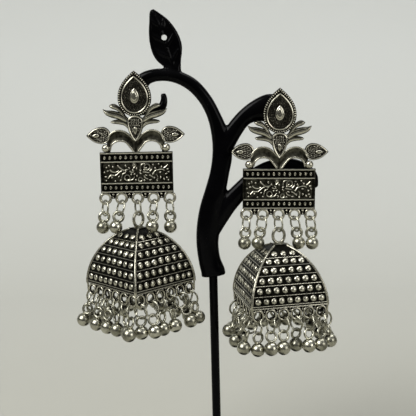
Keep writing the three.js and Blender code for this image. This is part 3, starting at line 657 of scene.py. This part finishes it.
# %% Panel tables
STEMS = [
    [(-9.0, -1.7), (-8.1, -0.8), (-6.6, -0.8), (-5.4, 0.2), (-4.6, 0.6)],
    [(-8.4, 1.0), (-7.6, 0.3), (-6.4, 0.2), (-5.6, 0.6)],
    [(-5.7, 2.0), (-5.0, 1.4), (-4.1, 0.8), (-2.7, 1.0)],
    [(-4.8, -1.8), (-4.4, -0.5), (-3.5, 0.0)],
    [(-2.7, -2.6), (-1.3, -2.2), (-0.7, -1.3)],
    [(-2.2, 0.5), (-1.6, 0.1), (-0.8, 0.2)],
    [(-0.9, 1.4), (-0.3, 2.0), (-0.1, 2.7)],
    [(1.2, 1.1), (1.5, 2.4), (2.6, 2.85)],
    [(4.2, 0.3), (4.8, 1.1), (4.9, 1.9)],
    [(2.3, -1.0), (2.6, -1.7), (3.6, -2.2)],
    [(3.9, -0.8), (4.8, -1.3), (5.5, -1.8)],
    [(5.3, -0.3), (5.9, 0.5), (7.0, 0.8)],
    [(8.6, 1.3), (9.2, 1.7), (9.8, 2.4)],
    [(2.0, 0.2), (3.0, 0.0), (4.0, -0.1)],
    [(6.4, -2.5), (6.6, -1.4), (6.2, -0.6)],
    [(7.0, 0.8), (8.0, 0.9), (8.8, 0.5)],
]
ROSETTES = [(-3.0, -1.6, 0.87), (-0.7, 2.5, 0.5), (3.3, 1.7, 0.95), (1.1, -2.2, 0.65)]
PETALS = [
    (-8.6, 2.2, 100), (-9.1, 0.6, 20), (-9.7, -1.2, 0), (-7.8, -1.5, 55), (-5.6, -1.2, 40), (-3.4, 2.1, 100),
    (-2.3, 1.4, 110), (-1.1, 0.7, 140), (0.0, 1.3, 90), (1.2, 0.6, 30), (-0.7, -0.5, 40), (0.1, -1.1, 90),
    (1.3, -0.3, 150), (-0.3, -2.4, 70), (3.0, 1.4, 30), (5.9, 1.3, 120), (7.8, 1.7, 70), (9.8, 1.0, 10),
    (9.3, -0.5, 30), (7.5, -1.7, 70), (8.6, -2.2, 110), (7.4, 0.0, 20), (4.3, -2.4, 20), (3.0, -0.9, 160),
]
DOTS = [
    (-9.4, 1.7), (-7.4, 1.9), (-9.6, -2.4), (-6.8, -2.6), (-5.1, -2.4), (-5.8, 2.2),
    (-3.4, 0.5), (-1.7, -0.6),
    (5.2, 2.4), (7.0, 2.6), (5.1, -0.5), (5.5, -1.8), (9.5, -1.7), (9.9, -2.5), (2.4, 0.8), (-0.7, 2.5),
    (10.1, 0.1), (-10.1, 0.2), (6.4, -2.6), (2.4, -2.5),
]
BEAD_COLUMNS = 13
print("stems", len(STEMS), "rosettes", len(ROSETTES), "petals", len(PETALS), "dots", len(DOTS))


# %% Panel
def oval(x, y, rx, ry, height, degrees=0, seg=10, rings=4):
    a = radians(degrees)
    centre, side = np.array([x, y, PLATE - 0.06]), (cos(a), sin(a), 0)
    return cap(centre, (rx, ry, height), side=side, seg=seg, rings=rings)


def stem(points, wire=0.19):
    count = 8 * len(points)
    line = spline(points, count)
    return [tube(flat(line, PLATE + 0.08), np.linspace(wire * 1.25, wire * 0.7, count), sides=7)]


def wire_ring(x, y, radius, wire=0.2):
    return [tube(circle(radius, "xy", 22, (x, y, PLATE + 0.1)), wire, closed=True, sides=7)]


def leaf(x, y, degrees, length=0.5, width=0.27):
    return oval(x, y, length, width, 0.5, degrees, 10, 3)


def relief():
    """Flowers, rosettes and curling stems, measured from the middle of the band."""
    shapes = []
    for points in STEMS:
        shapes += stem(points)
    for x, y, radius in ROSETTES:
        shapes += wire_ring(x, y, radius)
    for x, y, degrees in PETALS:
        shapes.append(leaf(x, y, degrees))
    for x, y in DOTS:
        shapes.append(oval(x, y, 0.34, 0.34, 0.52, 0, 10, 3))
    return shapes


def panel():
    w, h = PANEL_WIDTH / 2, PANEL_HEIGHT
    shapes = [slab([(-w, -h), (w, -h), (w, 0), (-w, 0)], 0, PLATE - 0.1, 0.0, 0.2)]
    middle = -h / 2
    for y in (-RAIL / 2, -BEAD_BAND - RAIL / 2, -h + BEAD_BAND + RAIL / 2, -h + RAIL / 2):
        line = np.linspace((-w + 0.2, y), (w - 0.2, y), 40)
        line = flat(line, PLATE + 0.08)
        line[:, 1] += 0.03 * np.sin(np.arange(40) * 1.7)
        shapes.append(tube(line, 0.23, sides=8))
    for side in (-1, 1):
        left, right = side * w - 0.24, side * w + 0.24
        wall = slab([(left, -h), (right, -h), (right, 0), (left, 0)], 0, PLATE + 0.15, 0.34, 0.3)
        shapes.append(moved(wall, Matrix.Translation((-side * 0.24, 0, 0))))
    pitch = (PANEL_WIDTH - 2 * RAIL) / BEAD_COLUMNS
    for band in (-BEAD_BAND / 2 - RAIL / 2, -h + BEAD_BAND / 2 + RAIL / 2):
        for i in range(BEAD_COLUMNS):
            x = (i - BEAD_COLUMNS // 2) * pitch
            shapes.append(oval(x, band, 0.42, 0.66, 0.22, 0, 12, 3))
            for lobe in (-0.33, 0.33):
                shapes.append(oval(x, band + lobe, 0.32, 0.28, 0.6, 0, 10, 4))
    field = h / 2 - BEAD_BAND - RAIL
    low, high = middle - field, middle + field
    corners = [(-w + 0.9, low), (w - 0.9, low), (w - 0.9, high), (-w + 0.9, high)]
    shapes.append(slab(corners, PLATE - 0.2, PLATE - 0.04, 0.4, 0.1))
    down = Matrix.Translation((0, middle, 0))
    return shapes + [moved(shape, down) for shape in relief()]


print("shapes in the panel", len(panel()))

# %% [markdown]
# Five loops along the lower edge carry the dome and the bell drops. Dark webs with two small beads fill
# the gaps, and the ear post stands out behind. All belong to one casting, so they join the plate's mesh.

# %% Loops, webs and ear post
def loops_and_post():
    shapes = []
    for i in range(5):
        x = (i - 2) * LOOP_PITCH
        line = circle(LOOP_RADIUS, "xy", 32, (x, LOOP_Y, PLATE / 2))
        shapes.append(tube(line, LOOP_WIRE * 1.35, Z, 10, True))
        if i:
            web = LOOP_PITCH / 2 - LOOP_RADIUS - 0.1
            left = x - LOOP_PITCH / 2
            top, low = -PANEL_HEIGHT + 0.2, -PANEL_HEIGHT - 1.9
            corners = [
                (left - web * 1.5, top), (left - web * 0.6, low),
                (left + web * 0.6, low), (left + web * 1.5, top),
            ]
            shapes.append(slab(corners, 0.1, PLATE - 0.2, 0.0))
            for y, size in ((-0.5, 0.4), (-1.45, 0.3)):
                seat = np.array([left, -PANEL_HEIGHT + y, PLATE - 0.25])
                shapes.append(cap(seat, (size, size, 0.5), seg=10, rings=4))
    post = spun([(0.35, -6.9), (0.45, -6.6), (0.45, 0.3)], 16, 0.8)
    shapes.append(moved(post, Matrix.Translation((0, POST_UP, 0))))
    return shapes


def plate_shapes():
    return teardrops() + wings() + arch_side(-1) + arch_side(1) + panel() + loops_and_post()


for side in SIDES:
    place = plate_place(side)
    shapes = [(*moved(s[:3], place), *s[3:]) for s in plate_shapes()]
    piece(side + "_ornate_plate", shapes, OXIDISED, "stand", [side + "_plate"], GRAINED)

# %% [markdown]
# Four small bells hang beside each dome: a jump ring, an eye ring and a ball. The ring is a bent wire
# with a small gap where it was closed, and the ball is turned, so a tube and a spun profile make them as
# metal is made.

# %% Bell drops
def jump_ring(turn=18, radius=LINK_RADIUS, wire=LINK_WIRE):
    gap = radians(2.5)
    angles = np.linspace(gap, 2 * pi - gap, 44) + 0.6
    line = np.c_[np.zeros(44), radius * np.cos(angles), radius * np.sin(angles)]
    shape = tube(line, wire, (1, 0, 0), 10, shine=0.9)
    return moved(shape, Matrix.Translation((0, 0, LINK_MIDDLE)) @ Matrix.Rotation(radians(turn), 4, "Z"))


def bell_bead(radius, eye_radius, eye_wire, eye_middle, ball_middle, turn=0):
    eye = tube(circle(eye_radius, "xz", 32), eye_wire, (0, 1, 0), 10, True, shine=0.9)
    neck = ball_middle + radius
    profile = [(0.02, ball_middle - radius)]
    for degrees in range(-80, 81, 8):
        a = radians(degrees)
        profile.append((radius * cos(a), ball_middle + radius * sin(a)))
    profile += [(0.5, neck), (0.42, neck + 0.15), (0.3, neck + 0.3)]
    collar = tube(circle(0.62, "xy", 18), 0.14, Z, 6, True, shine=0.8)
    return [
        moved(eye, Matrix.Translation((0, 0, eye_middle)) @ Matrix.Rotation(radians(turn), 4, "Z")),
        spun(profile, 32, 0.95),
        moved(collar, Matrix.Translation((0, 0, neck - 0.06))),
    ]


for side in SIDES:
    shapes, nodes = [], []
    for loop, aside, forward in DROPS[side]:
        place = hang_place(side, loop, aside, forward)
        turn = rng.uniform(-25, 25)
        bead = bell_bead(BALL_RADIUS, EYE_RADIUS, EYE_WIRE + 0.05, EYE_MIDDLE, BALL_MIDDLE, turn)
        for shape in [jump_ring(rng.uniform(20, 34)), *bead]:
            shapes.append(moved(shape, place))
        nodes += [f"{side}_link_{loop + 1}", f"{side}_bell_bead_{loop + 1}"]
    piece(side + "_bell_drops", shapes, POLISHED, "stand", nodes)
    ring = moved(jump_ring(26), hang_place(side, 2, 0, 0))
    nodes = [side + "_centre_link"]
    piece(side + "_middle_ring", [ring], POLISHED, side + "_hanger", nodes)

# %% [markdown]
# The dome is a hollow bell with four bowed faces: rows of studs between twisted wires, ribs down the
# corners, and a rail with pierced loops below. One face is made for each side. The studs could be copies
# of one, but small differences in size and tilt make the light break up as on real work.

# %% Dome
STUD_ROWS = [(2.1, 3), (4.1, 5), (6.5, 6), (9.25, 7), (12.2, 8), (15.35, 9)]
ROPE_DEPTHS = [3.15, 5.3, 7.85, 10.7, 13.8]
STUD_HEIGHT = 0.55


def dome_half(depth):
    share = np.clip(np.asarray(depth, float) / DOME_HEIGHT, 0, 1)
    return np.maximum(DOME_TOP_HALF, DOME_HALF * (1 - (1 - share) ** 1.8) ** 0.55)


def on_face(x, depth, lift=0.0):
    """A point on the front face, and the direction straight out of the face there."""
    half = dome_half(depth)
    slope = (dome_half(depth + 0.05) - dome_half(max(depth - 0.05, 0))) / 0.1
    out = unit(np.array([0, -1.0, slope]))
    return np.array([x, -half, -depth]) + out * lift, out


def dome_wall():
    levels = np.r_[np.linspace(0.0, 1.2, 5), np.linspace(2, DOME_HEIGHT, 20)]
    rings = []
    for wall, order in ((0.0, levels), (DOME_WALL, levels[::-1])):
        for depth in order:
            half = dome_half(depth) - wall
            line = np.linspace(-1, 1, 13)[:-1]
            z = -max(depth, 2 * wall)
            face = np.c_[line * half, np.full(12, -half), np.full(12, z)]
            quarters = ((1, 0), (0, 1), (-1, 0), (0, -1))
            turns = [face @ np.array([[c, s, 0], [-s, c, 0], [0, 0, 1]]) for c, s in quarters]
            rings.append(np.vstack(turns))
    verts, faces = skin(rings)
    return verts, [f[::-1] for f in faces], np.full(len(verts), 0.04)


def rope(depth, radius, period, lift):
    half = float(dome_half(depth))
    count = max(int(2 * half / period * 3), 8)
    point, out = on_face(0, depth, lift)
    x = np.linspace(-half, half, count)
    line = np.c_[x, np.full(count, point[1]), np.full(count, point[2])]
    twist = radius * (1 + 0.3 * np.sin(x / period * 2 * pi))
    return tube(line, twist, out, 6)


def rim_loop(x):
    height = -DOME_HEIGHT - RIM_LOOP_DROP
    y = DOME_WALL / 2 - DOME_HALF
    ring = circle(1.0, "xz", 28) * (RIM_OUTER - 0.33, 1, RIM_OUTER - 0.2) + (x, y, height)
    # A thin dark ring inside each loop, given a low shine: painted shade that keeps the hole dark.
    shaded_lining = circle(1.0, "xz", 24) * (RIM_OUTER - 0.68, 1, RIM_OUTER - 0.55) + (x, y + 0.1, height)
    return [tube(ring, 0.33, (0, -1, 0), 10, True), tube(shaded_lining, 0.25, (0, -1, 0), 6, True, shine=0.1)]


def stud_row(depth, count):
    """One row of fluted studs across a face, each with a small crown on top."""
    shapes = []
    room = 2 * float(dome_half(depth)) - 1.3
    pitch = room / count
    size = min(1.06, pitch * 0.46)
    for i in range(count):
        x = (i - (count - 1) / 2) * pitch + rng.uniform(-0.05, 0.05)
        point, out = on_face(x, depth + rng.uniform(-0.05, 0.05), -0.08)
        radii = (size * rng.uniform(0.94, 1.04), size * rng.uniform(0.94, 1.04), STUD_HEIGHT)
        tilt = out + np.array([rng.uniform(-0.12, 0.12), 0, rng.uniform(-0.12, 0.12)])
        shine = (-0.1, rng.uniform(0.6, 0.95))
        shapes.append(cap(point, radii, tilt, seg=24, rings=5, shine=shine, flutes=8))
        crown = point + out * 0.43
        shapes.append(cap(crown, (0.28, 0.28, 0.2), tilt, seg=8, rings=2, shine=(-0.6, 0.6)))
    return shapes


def base_rail():
    shapes = []
    for depth, wire in ((16.72, 0.15), (17.42, 0.22)):
        point, out = on_face(0, depth, 0.12)
        reach = DOME_HALF + 0.1
        line = np.linspace((-reach, point[1], point[2]), (reach, point[1], point[2]), 24)
        shapes.append(tube(line, wire, out, 8))
    return shapes


def rim_web(left):
    """The dark web between two rim loops, with two small beads on it."""
    base = -DOME_HEIGHT + 0.1
    face_on = Matrix.Translation((0, 0.6 - DOME_HALF, 0)) @ Matrix.Rotation(pi / 2, 4, "X")
    corners = [(left - 1.3, base), (left, base - 2.0), (left + 1.3, base)]
    shapes = [moved(slab(corners, 0, 0.4, 0.0), face_on)]
    for drop, size in ((0.55, 0.3), (1.25, 0.24)):
        bead = cap(np.array([left, base - drop, 0.35]), (size, size, 0.36), seg=8, rings=3)
        shapes.append(moved(bead, face_on))
    return shapes


def dome_face():
    shapes = []
    for depth, count in STUD_ROWS:
        shapes += stud_row(depth, count)
    shapes += [rope(depth, 0.15, 0.5, 0.06) for depth in ROPE_DEPTHS]
    shapes += base_rail()
    for i in range(RIM_LOOPS):
        x = (i - (RIM_LOOPS - 1) / 2) * RIM_PITCH
        shapes += rim_loop(x)
        if i:
            shapes += rim_web(x - RIM_PITCH / 2)
    return shapes


def corner_rib():
    depths = np.r_[np.linspace(0.1, 2, 6), np.linspace(3, DOME_HEIGHT, 16)]
    line = [(dome_half(d), -dome_half(d), -d) for d in depths]
    foot = -DOME_HEIGHT - RIM_LOOP_DROP - RIM_OUTER * 0.6
    line += [(DOME_HALF - 0.1, 0.1 - DOME_HALF, z) for z in np.linspace(-DOME_HEIGHT - 0.8, foot, 4)]
    wires = np.r_[np.linspace(0.34, 0.44, len(depths)), 0.3, 0.28, 0.24, 0.16]
    return tube(np.array(line), wires, (1, -1, 0.4), 10, shine=0.85)


def crown_ring():
    line = circle(1.0, "xz", 36) * (RING_RADIUS * 0.8, 1, RING_RADIUS) + (0, 0, RING_RADIUS + RING_WIRE * 0.6)
    ring = tube(line, RING_WIRE * 1.15, (0, -1, 0), 12, True, shine=0.8)
    collar = spun([(1.9, -0.2), (1.9, 0.12), (1.2, 0.34), (0.9, 0.4)], 24, 0.6)
    return [ring, collar]


def dome_shapes():
    shapes = [dome_wall(), *crown_ring()]
    for turn in range(4):
        spin = Matrix.Rotation(turn * pi / 2, 4, "Z")
        shapes += [moved(shape, spin) for shape in dome_face()]
        shapes.append(moved(corner_rib(), spin))
    return shapes


def dome_place(side):
    turn = Matrix.Rotation(radians(DOME_TURN[side]), 4, "Z")
    return hang_place(side, 2, 0, 0) @ Matrix.Translation((0, 0, APEX)) @ turn


for side in SIDES:
    place = dome_place(side)
    shapes = [moved(shape, place) for shape in dome_shapes()]
    piece(side + "_studded_dome", shapes, OXIDISED, side + "_bell", [side + "_dome"])

# %% [markdown]
# Under every rim loop hangs a jump ring with a polished ball. The balls push each other aside. A physics
# run could settle them, but is hard to steer, so a table says how far each leans aside and out, in
# degrees.

# %% Fringe
FRINGE_LENGTH = 8.85
FRINGE_BALL = 2.2
FRINGE_LEANS = {
    "left": [
        [(4, -4), (-8, 21), (-7, 14), (-5, 18), (5, 26), (15, 10)],
        [(8, 3), (4, 21), (1, 6), (1, 18), (1, 7), (1, 17)],
        [(-1, 7), (0, 16), (0, 5), (0, 16), (1, 7), (2, 15)],
        [(-12, 18), (1, 14), (10, 13), (12, 10), (16, 8), (13, 23)],
    ],
    "right": [
        [(-4, 9), (-7, 26), (-6, 18), (0, -4), (-6, 19), (-5, 12)],
        [(-3, 11), (-1, 15), (0, 7), (1, 17), (1, 8), (3, 15)],
        [(-3, 10), (-1, 15), (0, 6), (0, 16), (1, 8), (3, 14)],
        [(-2, 10), (0, 14), (2, 6), (-24, 32), (-4, 28), (13, 21)],
    ],
}


def rim_drop(head, aside, out):
    """A drop that hangs from head, the rim loop's lower wire, and leans aside and out by those degrees."""
    eye = -FRINGE_LENGTH + FRINGE_BALL + EYE_RADIUS
    ring_low = eye + EYE_RADIUS - 0.54
    ring = (0.62 - ring_low) / 2
    x, y = sin(radians(aside)), sin(radians(out))
    down = Vector((x, -y, -sqrt(1 - x * x - y * y)))
    lean = Vector((0, 0, -1)).rotation_difference(down).to_matrix().to_4x4()
    middle = Matrix.Translation((0, 0, 0.62 - ring - LINK_MIDDLE))
    link = moved(jump_ring(rng.uniform(8, 34), ring, 0.31), middle)
    bead = bell_bead(FRINGE_BALL, EYE_RADIUS, 0.42, eye, -FRINGE_LENGTH, rng.uniform(-35, 35))
    place = Matrix.Translation(Vector(head)) @ lean
    return [moved(shape, place) for shape in [link, *bead]]


def fringe(side):
    shapes = []
    loop_foot = -DOME_HEIGHT - RIM_LOOP_DROP - RIM_OUTER + 0.4
    for turn, leans in enumerate(FRINGE_LEANS[side]):
        spin = Matrix.Rotation(turn * pi / 2, 4, "Z")
        for i, (aside, out) in enumerate(leans):
            x = (i - (RIM_LOOPS - 1) / 2) * RIM_PITCH
            head = np.array([x, DOME_WALL / 2 - DOME_HALF, loop_foot])
            shapes += [moved(shape, spin) for shape in rim_drop(head, aside, out)]
    return shapes


for side in SIDES:
    place = dome_place(side)
    shapes = [moved(shape, place) for shape in fringe(side)]
    piece(side + "_bead_fringe", shapes, POLISHED, side + "_bell", [side + "_rim_drops"])

# %% [markdown]
# A push-back nut holds the ear post behind the stand. It is turned, with a waist and a rolled edge, so a
# spun profile is all that it needs.

# %% Push-back nuts
def ear_nut_shapes():
    profile = [(0.75, -2.2), (1.3, -2.15), (1.5, -1.7), (1.1, -1.2)]
    profile += [(2.1, -0.7), (2.4, -0.45), (2.4, -0.2), (2.2, 0)]
    return [spun(profile, 32, 0.9)]


for side in SIDES:
    back = Matrix.Translation((0, POST_UP, -(LIMB_THICKNESS + 2 * GAP)))
    shapes = [moved(shape, plate_place(side) @ back) for shape in ear_nut_shapes()]
    piece(side + "_push_back", shapes, POLISHED, "stand", [side + "_ear_nut"])

# %% [markdown]
# The stand is moulded plastic: four limbs flow into one another, and a veined leaf tops it. Joined sweeps
# leave creases, so the limbs are rebuilt as one even skin and smoothed. Then the leaf's relief is pushed
# in and the holes are bored.

# %% Branch tables
LIMB_WIDTH = 8.0
BRANCH_ACROSS = 23.09
BRANCH_FOOT = 75.6
BRANCH_UP = 84.8
TRUNK = 5.0
FLAT_LEAF = 2.6
MAIN_LIMB = [
    (0.006, 0, 1, TRUNK), (-0.002, 0.018, 0.98, TRUNK), (-0.046, 0.062, 0.9, TRUNK),
    (-0.069, 0.123, 0.9, TRUNK), (-0.052, 0.188, 0.95, TRUNK),
    (-0.004, 0.258, 0.95, TRUNK), (0.056, 0.323, 0.85, TRUNK), (0.121, 0.394, 0.775, 4),
    (0.165, 0.465, 0.8, 4),
    (0.143, 0.535, 0.7, 4), (0.065, 0.608, 0.55, 4), (-0.052, 0.672, 0.512, 4), (-0.225, 0.726, 0.525, 4),
    (-0.442, 0.757, 0.5, 4), (-0.658, 0.765, 0.5, 4), (-0.84, 0.754, 0.55, 4), (-0.966, 0.719, 0.75, 4),
    (-1.005, 0.682, 1.025, 4), (-0.987, 0.649, 0.8, 4), (-0.883, 0.637, 0.42, 3.4),
    (-0.745, 0.633, 0.34, 3.2),
    (-0.645, 0.647, 0.34, 3.0), (-0.61, 0.671, 0.28, 2.6), (-0.619, 0.697, 0.2, 1.8),
]
UPPER_ARM = [
    (0.139, 0.441, 0.55, 3.6), (0.225, 0.5, 0.65, 4), (0.329, 0.552, 0.675, 4), (0.468, 0.598, 0.65, 4),
    (0.632, 0.623, 0.85, 4), (0.797, 0.632, 1.125, 4), (0.927, 0.63, 1.05, 4), (1.022, 0.625, 0.7, 3.4),
    (1.091, 0.62, 0.2, 1.6),
]
LOWER_ARM = [
    (-0.035, 0.164, 0.7, 4.4), (0.113, 0.233, 0.775, 4), (0.277, 0.29, 0.725, 4), (0.468, 0.34, 0.725, 4),
    (0.676, 0.375, 0.95, 3.6), (0.909, 0.392, 1.1, FLAT_LEAF), (1.152, 0.392, 1.05, FLAT_LEAF),
    (1.351, 0.37, 0.775, FLAT_LEAF), (1.464, 0.333, 0.175, 1.4),
]
TOP_LEAF = [
    (-0.416, 0.752, 0.33, FLAT_LEAF), (-0.457, 0.79, 0.56, FLAT_LEAF), (-0.528, 0.842, 1.15, FLAT_LEAF),
    (-0.58, 0.892, 1.2, FLAT_LEAF), (-0.641, 0.941, 0.9, FLAT_LEAF),
    (-0.71, 0.983, 0.4, 2.0), (-0.736, 1, 0.15, 1.2),
]
LEAF_HOLE = (BRANCH_ACROSS * -0.58, BRANCH_FOOT + BRANCH_UP * 0.899)
print("branch", BRANCH_UP, "mm high, from", BRANCH_FOOT, "mm up")


# %% Branch
def limb(rows):
    """One smooth limb of the branch, swept along its rows of across, up, width and thickness."""
    count = 10 * len(rows)
    path = spline([(BRANCH_ACROSS * a, BRANCH_FOOT + BRANCH_UP * u) for a, u, _, _ in rows], count)
    size = spline([(w * LIMB_WIDTH / 2, t / 2) for _, _, w, t in rows], count)
    size = np.maximum(size, 0.25)
    along = unit(np.gradient(path, axis=0))
    across = np.c_[along[:, 1], -along[:, 0]]
    angles = (np.arange(24) + 0.5) / 24 * 2 * pi
    side = np.cos(angles)
    lift = np.sign(np.sin(angles)) * np.abs(np.sin(angles)) ** 0.7
    rings = []
    for point, normal, (half, thick) in zip(path, across, size):
        flat_ring = point + normal * (side * half)[:, None]
        rings.append(np.c_[flat_ring[:, 0], lift * thick, flat_ring[:, 1]])
    verts, faces = skin(rings)
    return verts, faces, np.zeros(len(verts))


def leaf_relief(points):
    """How far each point of the leaf's faces moves out: a raised edge, a mid-rib and side veins."""
    rows = [(BRANCH_ACROSS * a, BRANCH_FOOT + BRANCH_UP * u, w * LIMB_WIDTH / 2) for a, u, w, _ in TOP_LEAF]
    steps = 200
    path = spline(rows, steps)
    offset = points[:, None, [0, 2]] - path[None, :, :2]
    near = np.argmin((offset**2).sum(2), axis=1)
    along = unit(np.gradient(path[:, :2], axis=0))[near]
    pick = offset[np.arange(len(points)), near]
    aside = pick[:, 0] * along[:, 1] - pick[:, 1] * along[:, 0]
    half = path[near, 2]
    share = near / (steps - 1)
    across = np.abs(aside) / half
    inside = smoothstep(0.14, 0.24, share) * smoothstep(0.97, 0.9, share) * smoothstep(1.15, 1.02, across)
    edge = smoothstep(0.62, 0.82, across)
    rib = np.exp(-((aside / 0.34) ** 2))
    wave = share * 5.2 - across * 0.8 + 0.35 * (aside > 0)
    vein = np.exp(-(((wave % 1.0 - 0.5) / 0.12) ** 2))
    return inside * (0.42 * np.maximum(np.maximum(edge, rib), 0.8 * vein) - 0.34)


def settled(obj):
    """The object keeps its mesh as its modifiers leave it."""
    bpy.context.view_layer.update()
    made = bpy.data.meshes.new_from_object(obj.evaluated_get(bpy.context.evaluated_depsgraph_get()))
    obj.modifiers.clear()
    obj.data = made
    return made


def bore(branch):
    """Round holes through the branch for both ear posts and through the leaf."""
    mesh = bpy.data.meshes.new("bits")
    verts, faces = [], []
    for x, z, radius in [(*post_of("left"), 0.75), (*post_of("right"), 0.75), (*LEAF_HOLE, 0.85)]:
        through = Matrix.Translation((x, 0, z)) @ Matrix.Rotation(pi / 2, 4, "X")
        v, f = moved(spun([(radius, -5), (radius, 5)], 28), through)[:2]
        faces += [tuple(len(verts) + i for i in face) for face in f]
        verts += (v * MM).tolist()
    mesh.from_pydata(verts, [], faces)
    bits = bpy.data.objects.new("bits", mesh)
    bpy.context.scene.collection.objects.link(bits)
    cut = branch.modifiers.new("bore", "BOOLEAN")
    cut.object = bits
    cut.solver = "EXACT"
    settled(branch)
    bpy.data.objects.remove(bits)


def moulded_branch():
    shapes = [limb(rows) for rows in (MAIN_LIMB, UPPER_ARM, LOWER_ARM, TOP_LEAF)]
    branch = piece("moulded_branch", shapes, BLACK, "stand", ["stand_branch"])
    remesh = branch.modifiers.new("remesh", "REMESH")
    remesh.mode = "VOXEL"
    remesh.voxel_size = 0.34 * MM
    soften = branch.modifiers.new("soften", "SMOOTH")
    soften.factor = 0.5
    soften.iterations = 8
    made = settled(branch)
    points = np.array([v.co for v in made.vertices]) / MM
    facing = np.array([v.normal for v in made.vertices])
    on_top = points[:, 2] > BRANCH_FOOT + BRANCH_UP * 0.76
    face = on_top & (np.abs(facing[:, 1]) > 0.3)
    points[face, 1] += leaf_relief(points[face]) * np.sign(facing[face, 1])
    made.vertices.foreach_set("co", (points * MM).astype(np.float32).ravel())
    made.update()
    bore(branch)
    branch.data.shade_smooth()
    branch.data.set_sharp_from_angle(angle=radians(60))
    print("branch", len(branch.data.polygons), "faces")


moulded_branch()

# %% [markdown]
# Below the branch are a thin drawn rod and a round turned foot, each a spun profile. The foot's width and
# height and the rod's ends are read from the frame, so that they stay with the solids. Their curves are
# typed in.

# %% Foot and rod
def foot_and_rod():
    lo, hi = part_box("stand_base")
    radius = (hi.x - lo.x) / 2 / MM
    top = hi.z / MM
    profile = [(0.02, 0.0), (radius - 1.2, 0.0), (radius - 0.3, 0.3), (radius, 1.1)]
    profile += [(radius - 0.3, 2.1), (radius - 1.4, 2.7), (radius * 0.6, 3.2), (radius * 0.3, 3.8)]
    profile += [(6.4, 4.2), (5.1, 5.2), (4.3, 7.0), (4.0, top - 0.3), (3.6, top), (1.5, top)]
    piece("turned_foot", [spun(profile, 96)], BLACK, "stand", ["stand_base"])
    low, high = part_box("stand_rod")
    rod = spun([(1.38, low.z / MM), (1.4, low.z / MM + 0.4), (1.4, high.z / MM)], 32)
    piece("drawn_rod", [rod], BLACK, "stand", ["stand_rod"])


foot_and_rod()

# %% [markdown]
# The set is a pale cloth that curves up behind the object, soft window light from the upper left, a weak
# fill and a wash on the back. A room could be modelled, but a sky that brightens upward gives metal
# enough to reflect.

# %% Backdrop, lights and camera
def backdrop():
    material, nodes, links = node_material("pale_cloth")
    shader = nodes["Principled BSDF"]
    place = nodes.new("ShaderNodeTexCoord")
    split = nodes.new("ShaderNodeSeparateXYZ")
    links.new(place.outputs["Object"], split.inputs["Vector"])
    cloud = combine(nodes, links, "MULTIPLY", noise(nodes, links, 3.0, 2), 0.12)
    # The cloth's colour darkens from the top of the back wall down to the front of the floor: painted shade.
    rise = combine(nodes, links, "ADD", split.outputs["Y"], split.outputs["Z"])
    level = combine(nodes, links, "ADD", rise, cloud)
    color = ramp(nodes, links, level, [(0.1, (0.39, 0.385, 0.34)), (0.7, (0.52, 0.53, 0.51))])
    links.new(color, shader.inputs["Base Color"])
    shader.inputs["Roughness"].default_value = 0.9
    rows = [(-0.42, 0.0), (0.25, 0.0)]
    for degrees in range(0, 91, 10):
        a = radians(degrees)
        rows.append((0.25 + 0.25 * sin(a), 0.25 - 0.25 * cos(a)))
    rows.append((0.5, 2.2))
    mesh = bpy.data.meshes.new("pale_backdrop")
    verts = [(x, y, z) for y, z in rows for x in (-2.2, 2.2)]
    faces = [(2 * i, 2 * i + 1, 2 * i + 3, 2 * i + 2) for i in range(len(rows) - 1)]
    mesh.from_pydata(verts, [], faces)
    mesh.materials.append(material)
    mesh.shade_smooth()
    obj = bpy.data.objects.new("pale_backdrop", mesh)
    bpy.context.scene.collection.objects.link(obj)


def area_light(name, place, target, size, power, color=(1, 1, 1)):
    light = bpy.data.lights.new(name, "AREA")
    light.shape = "RECTANGLE"
    light.size, light.size_y = size
    light.energy = power
    light.color = color
    obj = bpy.data.objects.new(name, light)
    obj.location = place
    obj.rotation_euler = (Vector(target) - Vector(place)).to_track_quat("-Z", "Y").to_euler()
    bpy.context.scene.collection.objects.link(obj)


def world_light():
    world = bpy.data.worlds.new("room")
    bpy.context.scene.world = world
    world.use_nodes = True
    nodes, links = world.node_tree.nodes, world.node_tree.links
    place = nodes.new("ShaderNodeTexCoord")
    split = nodes.new("ShaderNodeSeparateXYZ")
    links.new(place.outputs["Generated"], split.inputs["Vector"])
    half = combine(nodes, links, "MULTIPLY", split.outputs["Z"], 0.5)
    height = combine(nodes, links, "ADD", half, 0.5)
    stops = [(0.3, (0.03, 0.03, 0.026)), (0.55, (0.1, 0.1, 0.095)), (0.9, (0.75, 0.77, 0.78))]
    color = ramp(nodes, links, height, stops)
    links.new(color, nodes["Background"].inputs["Color"])
    nodes["Background"].inputs["Strength"].default_value = 0.55


def camera():
    data = bpy.data.cameras.new("view")
    data.sensor_width = 36
    data.lens = 36 * 858.5 / 416
    obj = bpy.data.objects.new("view", data)
    pitch, yaw, roll = (radians(v) for v in (10.0, -0.287, 1.433))
    look = Matrix.Rotation(-yaw, 4, "Z") @ Matrix.Rotation(pi / 2 - pitch, 4, "X")
    look = look @ Matrix.Rotation(-roll, 4, "Z")
    obj.matrix_world = Matrix.Translation((0.000208, -0.271151, 0.145701)) @ look
    bpy.context.scene.collection.objects.link(obj)
    bpy.context.scene.camera = obj


backdrop()
world_light()
area_light("window", (-0.55, -0.45, 0.75), (0, 0, 0.1), (0.6, 0.6), 9.0, (1.0, 1.0, 0.98))
area_light("fill", (0.7, -0.6, 0.35), (0, 0, 0.1), (0.5, 0.5), 2.2, (1.0, 0.99, 0.96))
area_light("back_wash", (0.3, 0.1, 0.85), (0.05, 0.5, 0.25), (0.7, 0.3), 3.6)
camera()
bpy.context.scene.view_settings.view_transform = "Standard"
print("lights", len(bpy.data.lights), "cameras", len(bpy.data.cameras))
